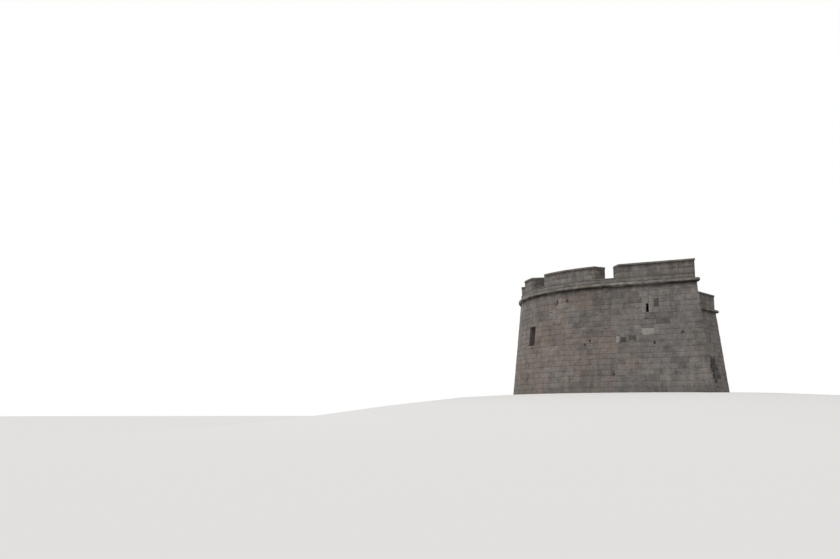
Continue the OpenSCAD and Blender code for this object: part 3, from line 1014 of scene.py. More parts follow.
@dataclass
class Dressings:
    """Dressed stones round the windows, the loopholes and the doorway."""

    plan: TowerPlan
    beds: Sequence[float]
    cut: StoneCut = StoneCut(proud=(0.02, 0.03), arris=0.01, pillow=0.002, wander=0.002, sink=0.04)
    sill_out: float = 0.04
    arch_out: float = 0.026
    arch_stones: int = 9
    jamb_stones: int = 4
    sill_tone: float = 0.6
    lintel_tone: float = 0.5
    jamb_tone: float = 0.6
    slit_tone: float = 0.4
    step_tone: float = 0.7

    def build(self) -> list[Piece]:
        """Build the dressed stones, and return their pieces."""
        return [self._windows(), self._loopholes(), self._doorway()]

    def _windows(self) -> Piece:
        """Build the sills and lintels of the windows.

        Returns:
            Their piece.
        """
        stones = StoneSet("window_dressings", Slot.DRESSED, 71, self.cut)
        for way in (1, -1):
            sill, _, lintel = self.plan.window_bands(way)
            for band, tone in ((sill, self.sill_tone), (lintel, self.lintel_tone)):
                stones.facing(self.plan.round(), self.plan.wall_face, band, stones.tint(tone))
        return stones.finish()

    def _loopholes(self) -> Piece:
        """Build the jambs of the loopholes, and the small stones over and under the slits.

        Returns:
            Their piece.
        """
        plan = self.plan
        stones = StoneSet("loophole_dressings", Slot.DRESSED, 72, self.cut)
        s, half, jamb = plan.flank_l - plan.loophole_back, plan.loophole_w / 2, plan.loophole_jamb
        low, high = plan.loophole_z, plan.loophole_z + plan.loophole_h
        foot, head = snapped((s, s, low, high), self.beds)[2:]
        bands = [((s - half - jamb, s - half, foot, head), self.jamb_tone),
                 ((s + half, s + half + jamb, foot, head), self.jamb_tone)]
        bands += [((s - half, s + half, a, b), self.slit_tone)
                  for a, b in ((foot, low), (high, head)) if b - a > THIN]
        for side in Side:
            for band, tone in bands:
                stones.facing(plan.flank(side), plan.wall_face, band, stones.tint(tone))
        return stones.finish()

    def _doorway(self) -> Piece:
        """Build the sill, jambs and arch stones of the doorway.

        Returns:
            Their piece.
        """
        plan = self.plan
        stones = StoneSet("doorway_dressings", Slot.DRESSED, 73, self.cut)
        gate, middle = plan.gate(), plan.gate_w / 2
        inner, outer, floor = plan.door_w / 2, plan.door_w / 2 + plan.door_stone, plan.upper_floor_z
        sill = (middle - outer, middle + outer, floor - plan.door_sill_h, floor)
        stones.facing(gate, lambda z: plan.gorge_face(z) + self.sill_out, sill,
                      stones.tint(self.step_tone))
        levels = [floor + plan.door_spring * k / self.jamb_stones for k in range(self.jamb_stones + 1)]
        for course in pairwise(levels):
            for ends in ((middle - outer, middle - inner), (middle + inner, middle + outer)):
                stones.facing(gate, plan.gorge_face, (*ends, *course), stones.tint(self.jamb_tone))
        half = self.cut.joint / 2
        for k in range(self.arch_stones):
            rings = []
            for out in (-self.cut.sink, self.arch_out):
                ends = ((inner, k, half), (outer, k, half), (outer, k + 1, -half), (inner, k + 1, -half))
                rings.append([self._arch_point(gate, r, joint, shift, out) for r, joint, shift in ends])
            stones.prism(rings, stones.tint(self.jamb_tone))
        return stones.finish()

    def _arch_point(self, gate: Run, r: float, joint: int, shift: float, out: float) -> Vector:
        """Give a corner of an arch stone.

        Args:
            gate: The gate wall's run.
            r: Distance from the arch's centre.
            joint: Number of the bed joint, from the left.
            shift: How far the corner lies past the joint.
            out: How far it stands out of the wall.

        Returns:
            The point.
        """
        angle = math.pi * joint / self.arch_stones + shift / r
        z = self.plan.arch_z + r * math.sin(angle)
        return gate.place(self.plan.gate_w / 2 - r * math.cos(angle), self.plan.gorge_face(z) + out, z)


@dataclass
class Cordon:
    """The rounded stones of the cordon, with their wear."""

    plan: TowerPlan
    cut: StoneCut = StoneCut(joint=0.014, short=0.7, long=1.15, arris=0.008)
    sides: int = 16
    lengths: int = 4
    proud: float = 0.006
    proud_swing: float = 0.006
    wear: float = 0.026
    wear_size: float = 0.4
    wear_from: float = -0.4

    def build(self) -> list[Piece]:
        """Build the cordon's stones.

        Returns:
            Their piece, in a list.
        """
        stones = StoneSet("cordon_stones", Slot.CORDON, 81, self.cut)
        for run in self.plan.runs():
            for ends in pairwise(mitred(bond(run.low(0), run.high(0), self.cut, stones.rng))):
                radius = self.plan.cordon_h / 2 + self.proud + stones.rng.uniform(0.0, self.proud_swing)
                stones.prism([[self._worn(run, ends, radius, math.tau * i / self.sides, level / self.lengths)
                               for i in range(self.sides)] for level in range(self.lengths + 1)])
        return [stones.finish()]

    def _worn(self, run: Run, ends: Pair, radius: float, turn: float, share: float) -> Vector:
        """Give a point of a roll's worn surface.

        Args:
            run: Wall that the roll lies on.
            ends: Where the roll starts and ends.
            radius: Its radius before it was worn.
            turn: Angle round it, from its outermost line up.
            share: Share of its length.

        Returns:
            The point.
        """
        bead, swell = self.plan.cordon_h / 2, 0.0
        for _ in range(2):
            offset = self.plan.cordon_out - bead + (radius + swell) * math.cos(turn)
            start, end = run.span(ends, offset, self.cut.joint / 2)
            z = self.plan.wall_h + bead + (radius + swell) * math.sin(turn)
            point = run.place(start + (end - start) * share, offset, z)
            swell = self.wear * max(0.0, noise.noise(point / self.wear_size) - self.wear_from)
        return point


@dataclass
class Parapet:
    """The parapet's through stones, its copings and the embrasure bottoms."""

    plan: TowerPlan
    cut: StoneCut = StoneCut(joint=0.006, short=0.75, long=1.4, arris=0.007)
    coping_cut: StoneCut = StoneCut(joint=0.012, short=0.75, long=1.15, arris=0.022)
    sole_cut: StoneCut = StoneCut(arris=0.012, joint=0.012)
    proud: float = 0.01
    coping_proud: float = 0.006
    shake: float = 0.004
    course_h: float = 0.5
    corner_short: float = 0.12
    corner_long: float = 0.42
    middle_swing: float = 0.2
    round_depths: Pair = (-0.5, 1.6)
    flank_depths: Pair = (-0.6, 1.8)
    sole_w: float = 0.65
    sole_ends: Pair = (-0.03, 0.01)
    sole_out: float = 0.004
    sole_sink: float = 0.02
    sole_lift: float = 0.01

    def build(self) -> list[Piece]:
        """Build the parapet.

        Returns:
            Its pieces.
        """
        plan = self.plan
        breast = StoneSet("breast_stones", Slot.PARAPET, 91, self.cut)
        joints = bond(plan.round().low(0), plan.round().high(0), self.cut, breast.rng)
        low_course = (plan.cordon_top, plan.breast_top)
        self._course(breast, plan.round(), joints, joints, low_course, self._faces(0.0))
        merlons = StoneSet("merlon_stones", Slot.PARAPET, 92, self.cut)
        copings = StoneSet("merlon_coping_stones", Slot.COPING, 93, self.coping_cut)
        beds = courses([plan.breast_top, plan.coping_z], self.course_h, random.Random(12))
        top = (plan.coping_z, plan.tower_h)
        for gaps in pairwise([*(gap.mirrored() for gap in reversed(plan.gaps)), *plan.gaps]):
            below: list[float] = []
            for course in pairwise(beds):
                below = self._merlon_course(merlons, gaps, course, below)
            self._merlon_course(copings, gaps, top, [], plan.coping_out)
        pieces = [breast.finish(), merlons.finish(), copings.finish()]
        straight = StoneSet("land_parapet_stones", Slot.PARAPET, 94, self.cut)
        slabs = StoneSet("land_coping_stones", Slot.COPING, 95, self.coping_cut)
        beds = courses([plan.cordon_top, plan.breast_top, plan.coping_z], self.course_h, random.Random(12))
        for number, course in enumerate(pairwise(beds)):
            self._land_course(straight, course, number)
        self._land_course(slabs, top, 1, plan.coping_out)
        return [*pieces, straight.finish(), slabs.finish(), self._soles()]

    def _faces(self, over: float) -> Pair:
        """Return the offsets of a course's outer and inner face, for how far it overhangs."""
        proud = self.coping_proud if over else self.proud
        return -self.plan.setback + over + proud, self.plan.parapet_in - over - proud

    def _cheek(self, run: Run, gap: Gap, way: int, offset: float, out: float) -> float:
        """Find how far along a run an embrasure's cheek crosses an offset.

        Args:
            run: Run of the wall.
            gap: The embrasure.
            way: 1 for the cheek further to the left, -1 for the other.
            offset: The offset.
            out: How far the stone stands out past the cheek.

        Returns:
            The distance along the run.
        """
        low, high = self.round_depths if isinstance(run, RoundRun) else self.flank_depths
        for _ in range(BISECTIONS):
            middle = (low + high) / 2
            if run.locate(self.plan.cheek(gap, way, middle, out))[1] > offset:
                low = middle
            else:
                high = middle
        return run.locate(self.plan.cheek(gap, way, low, out))[0]

    def _course(self, stones: StoneSet, run: Run, outer: Sequence[float], inner: Sequence[float],
                course: Pair, faces: Pair) -> None:
        """Lay through stones between joints.

        Args:
            stones: Set that the stones go to.
            run: Run of the wall.
            outer: Joints on the outer face.
            inner: Joints on the inner face, as many.
            course: Bottom and top of the course.
            faces: Offsets of the outer and the inner face.
        """
        half = stones.cut.joint / 2
        parts = 3 if isinstance(run, RoundRun) else 1
        for outer_ends, inner_ends in zip(pairwise(outer), pairwise(inner)):
            shake = [stones.rng.uniform(-self.shake, self.shake) for _ in range(2)]
            edges = ((outer_ends, faces[0] + shake[0], range(parts + 1)),
                     (inner_ends, faces[1] - shake[1], range(parts, -1, -1)))
            rings = []
            for z in (course[0] + half, course[1] - half):
                ring = []
                for ends, offset, steps in edges:
                    start, end = run.span(ends, offset, half)
                    ring += [run.place(start + (end - start) * (step / parts), offset, z) for step in steps]
                rings.append(ring)
            stones.prism(rings)

    def _merlon_course(self, stones: StoneSet, gaps: tuple[Gap, Gap], course: Pair, below: Sequence[float],
                       over: float = 0.0) -> list[float]:
        """Lay one course between two embrasures.

        Args:
            stones: Set that the stones go to.
            gaps: The embrasures, from the right.
            course: Bottom and top of the course.
            below: Joints of the course below.
            over: How far the course overhangs the parapet's faces.

        Returns:
            The joints of the course, without its ends.
        """
        run, faces, proud = self.plan.round(), self._faces(over), self.coping_proud if over else self.proud
        outer, inner = ([self._cheek(run, gap, way, offset, proud) for gap, way in zip(gaps, (1, -1))]
                        for offset in faces)
        joints = bond(*outer, stones.cut, stones.rng, below)
        if len(joints) < 3:
            joints.insert(1, sum(outer) / 2 + stones.rng.uniform(-self.middle_swing, self.middle_swing))
        self._course(stones, run, joints, [inner[0], *joints[1:-1], inner[1]], course, faces)
        return joints[1:-1]

    def _land_course(self, stones: StoneSet, course: Pair, number: int, over: float = 0.0) -> None:
        """Lay one course round the flanks, the horns and the gate wall.

        Args:
            stones: Set that the stones go to.
            course: Bottom and top of the course.
            number: Number of the course.
            over: How far the course overhangs the parapet's faces.
        """
        plan, half, faces = self.plan, stones.cut.joint / 2, self._faces(over)
        reach = self.corner_long if number % 2 else self.corner_short
        edges = [0.0, 0.0]
        if course[0] >= plan.breast_top:
            proud = self.coping_proud if over else self.proud
            edges = [self._cheek(plan.flank(Side.LEFT), plan.gaps[-1], 1, offset, proud) for offset in faces]
        for side in Side:
            flank, horn = plan.flank(side), plan.horn(side)
            flank_end = flank.high(faces[1]) - reach
            horn_start = horn.low(faces[1]) + self.corner_long - reach
            joints = bond(max(edges), flank_end, stones.cut, stones.rng)
            self._course(stones, flank, [edges[0], *joints[1:]], [edges[1], *joints[1:]], course, faces)
            spots = [(flank, flank_end + half), (flank, END), (horn, horn_start - half)]
            stones.prism([[*(run.place(s, faces[0], z) for run, s in spots),
                           *(run.place(s, faces[1], z) for run, s in reversed(spots))]
                          for z in (course[0] + half, course[1] - half)])
            joints = [*bond(horn_start, horn.high(0), stones.cut, stones.rng)[:-1], END]
            self._course(stones, horn, joints, joints, course, faces)
        joints = mitred(bond(0.0, plan.gate().length, stones.cut, stones.rng))
        self._course(stones, plan.gate(), joints, joints, course, faces)

    def _soles(self) -> Piece:
        """Build the sloped slabs of the embrasure bottoms.

        Returns:
            Their piece.
        """
        stones = StoneSet("sole_stones", Slot.PARAPET, 96, self.sole_cut)
        half = self.sole_cut.joint / 2
        front, back = self.sole_ends[0], self.plan.parapet_t + self.sole_ends[1]
        for gap in self.plan.gaps:
            count = max(2, round(gap.width / self.sole_w))
            for side in Side:
                for k in range(count):
                    corners = ((front, k, half), (front, k + 1, -half), (back, k + 1, -half), (back, k, half))
                    stones.prism([[side.point(*self._sole_point(gap, depth, joint / count, shift, top))
                                   for depth, joint, shift in corners] for top in (False, True)])
        return stones.finish()

    def _sole_point(self, gap: Gap, depth: float, share: float, shift: float,
                    top: bool) -> tuple[Vector, float]:
        """Give a corner of an embrasure's slab.

        Args:
            gap: The embrasure.
            depth: Depth behind the parapet's outer face.
            share: Share of the way across.
            shift: How far the corner lies past its joint.
            top: Whether it lies on the slope.

        Returns:
            Its point of the plan and its height.
        """
        plan, r = self.plan, self.plan.front_r - self.plan.setback
        away = share * 2 - 1
        bulge = r - math.sqrt(r ** 2 - (away * gap.width / 2) ** 2)
        sag = math.sqrt(r ** 2 - gap.width ** 2 / 4) - r
        first, last = (plan.cheek(gap, way, depth + sag + bulge, self.sole_out) for way in (1, -1))
        p = first.lerp(last, (away + 1) / 2) + (last - first).normalized() * shift
        rise = plan.sole_rise * max(0.0, min(1.0, depth / plan.parapet_t))
        slope = plan.sole_t - self.sole_sink + rise + self.sole_lift
        return p, plan.breast_top + self.sole_sink + (slope if top else 0.0)


@dataclass
class Paving:
    """The terrace's flagstones, in rows inside a border, and the course at the parapet's foot."""

    plan: TowerPlan
    cut: StoneCut = StoneCut(joint=0.012, short=0.6, long=1.1, arris=0.008)
    kerb_cut: StoneCut = StoneCut(proud=(0.004, 0.01), sink=0.04, arris=0.01)
    row: float = 0.68
    border: float = 0.42
    border_gap: float = 0.002
    thickness: float = 0.03
    lift: Pair = (-0.002, 0.003)
    least: float = 0.06
    inset: float = 0.004
    front_gap: float = 0.02

    def build(self) -> list[Piece]:
        """Build the paving.

        Returns:
            Its pieces.
        """
        flags = StoneSet("terrace_flags", Slot.FLOOR, 101, self.cut)
        self._border(flags)
        self._rows(flags)
        return [flags.finish(), self._kerb()]

    @property
    def top(self) -> float:
        """Height of the paving's surface."""
        return self.plan.wall_h + self.thickness / 2

    @property
    def inside(self) -> float:
        """Offset of the line that the rows end at."""
        return self.plan.parapet_in - self.border - self.cut.joint

    @staticmethod
    def _outline(run: Run, ends: Pair, offsets: Pair, half: float, z: float = 0.0) -> list[Vector]:
        """Give the outline of a stone along a wall.

        Args:
            run: Run of the wall.
            ends: Where the stone's joints are.
            offsets: Offsets of its outer and inner side.
            half: Half a joint, which is left at each end.
            z: Height of the outline.

        Returns:
            Its four corners.
        """
        (first, last), (outer, inner) = ends, offsets
        spots = ((first, outer, half), (last, outer, -half), (last, inner, -half), (first, inner, half))
        return [run.place(run.reach(s, offset) + gap, offset, z) for s, offset, gap in spots]

    def _slab(self, stones: StoneSet, points: Sequence[Vector]) -> None:
        """Add one flagstone over some points of the plan."""
        levels = (self.top - self.thickness, self.top + stones.rng.uniform(*self.lift))
        stones.prism([[Vector((p.x, p.y, z)) for p in points] for z in levels])

    def _border(self, stones: StoneSet) -> None:
        """Lay the border course along the parapet's foot.

        Args:
            stones: Set that the stones go to.
        """
        outer, inner = self.plan.parapet_in - self.border_gap, self.plan.parapet_in - self.border
        for run in self.plan.runs():
            for ends in pairwise(mitred(bond(run.low(outer), run.high(outer), self.cut, stones.rng))):
                self._slab(stones, self._outline(run, ends, (outer, inner), self.cut.joint / 2))

    def _spans(self, y: float) -> list[Pair]:
        """Find the stretches of a line across the terrace that lie inside the border.

        Args:
            y: The line's place along the long axis.

        Returns:
            The start and end of each stretch.
        """
        plan = self.plan
        turn, tip, gate = plan.turn_at(self.inside), plan.tip_at(self.inside), plan.gate_at(self.inside)
        if y >= turn.y:
            r = plan.front_r + self.inside
            x = math.sqrt(max(0.0, r * r - y * y))
            return [(-x, x)] if x > 0 else []
        left = turn.x + (tip.x - turn.x) * (turn.y - y) / (turn.y - tip.y)
        if y >= gate.y:
            return [(left, -left)]
        if y <= tip.y:
            return []
        right = gate.x + (tip.x - gate.x) * (gate.y - y) / (gate.y - tip.y)
        return [(left, right), (-right, -left)]

    def _rows(self, stones: StoneSet) -> None:
        """Lay the rows of flagstones across the terrace.

        Args:
            stones: Set that the stones go to.
        """
        plan, half = self.plan, self.cut.joint / 2
        front = plan.front_r + self.inside - self.front_gap
        levels = [plan.tip_at(self.inside).y, plan.gate_at(self.inside).y, front]
        beds = courses(levels, self.row, random.Random(13))
        below: list[float] = []
        for low, high in pairwise(beds[:-1]):
            joints_here: list[float] = []
            for number, span in enumerate(self._spans((low + high) / 2)):
                edges = [self._spans(y) for y in (low + self.inset, high - self.inset)]
                foot, head = (found[number] if number < len(found) else span for found in edges)
                lines = [(Vector((foot[i], low)), Vector((head[i], high))) for i in range(2)]
                joints = bond(min(foot[0], head[0]), max(foot[1], head[1]), self.cut, stones.rng, below)
                joints_here += joints[1:-1]
                for x0, x1 in pairwise(joints):
                    xs = (x0 + half, x1 - half, x1 - half, x0 + half)
                    ys = (low + half, low + half, high - half, high - half)
                    outline = [Vector(corner) for corner in zip(xs, ys)]
                    for (start, end), way in zip(lines, (-1, 1)):
                        outline = clipped(outline, start, (end - start) * way)
                    across = [p.x for p in outline]
                    if len(outline) > 2 and max(across) - min(across) > self.least:
                        self._slab(stones, outline)
            below = joints_here
        self._last_row(stones, beds[-2], below)

    def _last_row(self, stones: StoneSet, low: float, below: Sequence[float]) -> None:
        """Lay the row under the front's curve, whose stones reach the border.

        Args:
            stones: Set that the stones go to.
            low: Where the row starts.
            below: Joints of the row before it.
        """
        half, r = self.cut.joint / 2, self.plan.front_r + self.inside
        end, near_end = (math.sqrt(r * r - y * y) for y in (low, low + self.least))
        for x0, x1 in pairwise(bond(-end, end, self.cut, stones.rng, below)):
            left, right = x0 + half, x1 - half
            far = [Vector((x, math.sqrt(r * r - x * x)))
                   for x in (min(near_end, right), max(-near_end, left))]
            self._slab(stones, [Vector((left, low + half)), Vector((right, low + half)), *far])

    def _kerb(self) -> Piece:
        """Build the course of stones against the parapet's inner face, behind the cordon.

        Returns:
            Its piece.
        """
        cut, inner, half = self.kerb_cut, self.plan.parapet_in, self.kerb_cut.joint / 2
        stones = StoneSet("parapet_foot_stones", Slot.PARAPET, 102, cut)
        for run in self.plan.runs():
            for ends in pairwise(mitred(bond(run.low(inner), run.high(inner), self.cut, stones.rng))):
                faces = (inner + cut.sink, inner - stones.rng.uniform(*cut.proud))
                stones.prism([self._outline(run, ends, faces, half, z)
                              for z in (self.top, self.plan.cordon_top - half)])
        return stones.finish()


@dataclass
class GateDoor:
    """The raised door: oak planks, strap hinges and nails."""

    plan: TowerPlan
    gap: float = 0.005
    foot_gap: float = 0.004
    planks: int = 6
    plank_gap: float = 0.002
    arch_steps: int = 4
    strap: tuple[Pair, ...] = ((0, -0.03), (0.8, -0.02), (0.86, 0), (0.8, 0.02), (0, 0.03))
    strap_in: float = 0.02
    strap_out: float = 0.008
    strap_sink: float = 0.004
    strap_z: Pair = (0.3, 1.35)
    strap_nails: int = 6
    nail_start: float = 0.07
    nail_step: float = 0.14
    nail_z: Pair = (0.75, 1.75)
    nail_size: tuple[float, float, float] = (0.014, 0.012, 0.014)

    @property
    def half(self) -> float:
        """Half the leaf's width."""
        return self.plan.door_w / 2 - self.gap

    def build(self) -> list[Piece]:
        """Build the door, and return its pieces."""
        return [self._planks(), self._irons()]

    def _y(self, back: float) -> float:
        """Return the y of a plane at some depth behind the leaf's outer face."""
        return -self.plan.gate_c + self.plan.door_setback + back

    def _planks(self) -> Piece:
        """Build the upright planks, each trimmed to the arch.

        Returns:
            Their piece.
        """
        boards = StoneSet("door_planks", Slot.DOOR, 111, StoneCut(arris=0.004, joint=0.004))
        foot, half, width = self.plan.upper_floor_z + self.foot_gap, self.half, 2 * self.half / self.planks
        for k in range(self.planks):
            x0, x1 = -half + k * width + self.plank_gap, -half + (k + 1) * width - self.plank_gap
            steps = [x0 + (x1 - x0) * i / self.arch_steps for i in range(self.arch_steps, -1, -1)]
            outline = [(x0, foot), (x1, foot)]
            outline += [(x, self.plan.arch_z + math.sqrt(max(0.0, half * half - x * x))) for x in steps]
            boards.prism([[Vector((x, self._y(back), z)) for x, z in outline]
                          for back in (0.0, self.plan.door_leaf_t)])
        piece = boards.finish()
        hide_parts("gate_door")
        return piece

    def _irons(self) -> Piece:
        """Build the strap hinges and the rows of nails.

        Returns:
            Their piece.
        """
        irons = StoneSet("door_irons", Slot.DOOR, 112, StoneCut(arris=0.003))
        left, floor = -self.plan.door_w / 2 + self.strap_in, self.plan.upper_floor_z
        for height in self.strap_z:
            z = height + floor
            irons.prism([[Vector((left + dx, self._y(back), z + dz)) for dx, dz in self.strap]
                         for back in (-self.strap_out, self.strap_sink)])
            for k in range(self.strap_nails):
                self._nail(irons, left + self.nail_start + self.nail_step * k, z)
        for height in self.nail_z:
            for k in range(self.planks):
                self._nail(irons, ((k + 0.5) / self.planks * 2 - 1) * self.half, height + floor)
        return irons.finish()

    def _nail(self, irons: StoneSet, x: float, z: float) -> None:
        """Add one domed nail head.

        Args:
            irons: Set that it goes to.
            x: Its place across the door.
            z: Its height.
        """
        place = Matrix.Translation((x, self._y(-self.strap_out), z)) @ Matrix.Diagonal((*self.nail_size, 1))
        verts = bmesh.ops.create_icosphere(irons.bm, subdivisions=1, radius=1.0, matrix=place)["verts"]
        irons.paint(verts, irons.tint())


class Graph:
    """Short calls that add nodes to a node tree and join them."""

    def __init__(self, tree: bpy.types.NodeTree) -> None:
        """Work on one node tree."""
        self.tree = tree

    def feed(self, sockets: bpy.types.bpy_prop_collection, values: dict[int | str, object]) -> None:
        """Join sockets to others, or set their own values.

        Args:
            sockets: Inputs of a node.
            values: What each of them gets, by its name or number.
        """
        for key, value in values.items():
            socket = sockets[key]
            if isinstance(value, Socket):
                self.tree.links.new(value, socket)
            elif isinstance(value, tuple) and len(socket.default_value) > len(value):
                socket.default_value = (*value, 1.0)
            else:
                socket.default_value = value

    def add(self, kind: str, inputs: dict[int | str, object] | None = None,
            **settings: object) -> bpy.types.Node:
        """Add a node.

        Args:
            kind: Its type.
            inputs: What its inputs get.
            settings: Its other settings.

        Returns:
            The node.
        """
        node = self.tree.nodes.new(kind)
        for name, value in settings.items():
            setattr(node, name, value)
        self.feed(node.inputs, inputs or {})
        return node

    def math(self, operation: str, a: object, b: object = 0.0, clamp: bool = False) -> Socket:
        """Return the result of a sum on two numbers."""
        return self.add("ShaderNodeMath", {0: a, 1: b}, operation=operation, use_clamp=clamp).outputs[0]

    def plus(self, a: object, b: object, clamp: bool = False) -> Socket:
        """Return the sum of two numbers."""
        return self.math("ADD", a, b, clamp)

    def times(self, a: object, b: object) -> Socket:
        """Return the product of two numbers."""
        return self.math("MULTIPLY", a, b)

    def mix(self, factor: object, a: object, b: object) -> Socket:
        """Return a blend of two colours, for a factor that is kept from 0 to 1."""
        return self.add("ShaderNodeMix", {0: factor, 6: a, 7: b}, data_type="RGBA").outputs[2]

    def spread(self, value: object, low: float, high: float, to_low: float = 0.0,
               to_high: float = 1.0) -> Socket:
        """Return a number moved from one range to another, kept inside it."""
        return self.add("ShaderNodeMapRange", {0: value, 1: low, 2: high, 3: to_low, 4: to_high}).outputs[0]

    def noise(self, where: object, scale: float, detail: float = 4.0, rough: float = 0.55,
              stretch: Colour | None = None) -> Socket:
        """Add smooth noise.

        Args:
            where: Point that it is read at.
            scale: Its scale.
            detail: How many finer layers it has.
            rough: How much those weigh.
            stretch: How the point is scaled first, along each axis.

        Returns:
            The noise, mostly from 0.3 to 0.7.
        """
        if stretch:
            where = self.add("ShaderNodeMapping", {"Vector": where, "Scale": stretch}).outputs[0]
        values = {"Vector": where, "Scale": scale, "Detail": detail, "Roughness": rough}
        return self.add("ShaderNodeTexNoise", values).outputs["Fac"]

    def cells(self, where: object, scale: float) -> Socket:
        """Return the distance to the nearest cell point."""
        return self.add("ShaderNodeTexVoronoi", {"Vector": where, "Scale": scale}).outputs["Distance"]

    def point(self) -> Socket:
        """Return the point of the surface in the object's own coordinates."""
        return self.add("ShaderNodeTexCoord").outputs["Object"]

    def tint(self) -> bpy.types.bpy_prop_collection:
        """Return the tone, the warmth and the kind of the stone."""
        colour = self.add("ShaderNodeAttribute", attribute_name=STONE).outputs["Color"]
        return self.add("ShaderNodeSeparateColor", {0: colour}).outputs


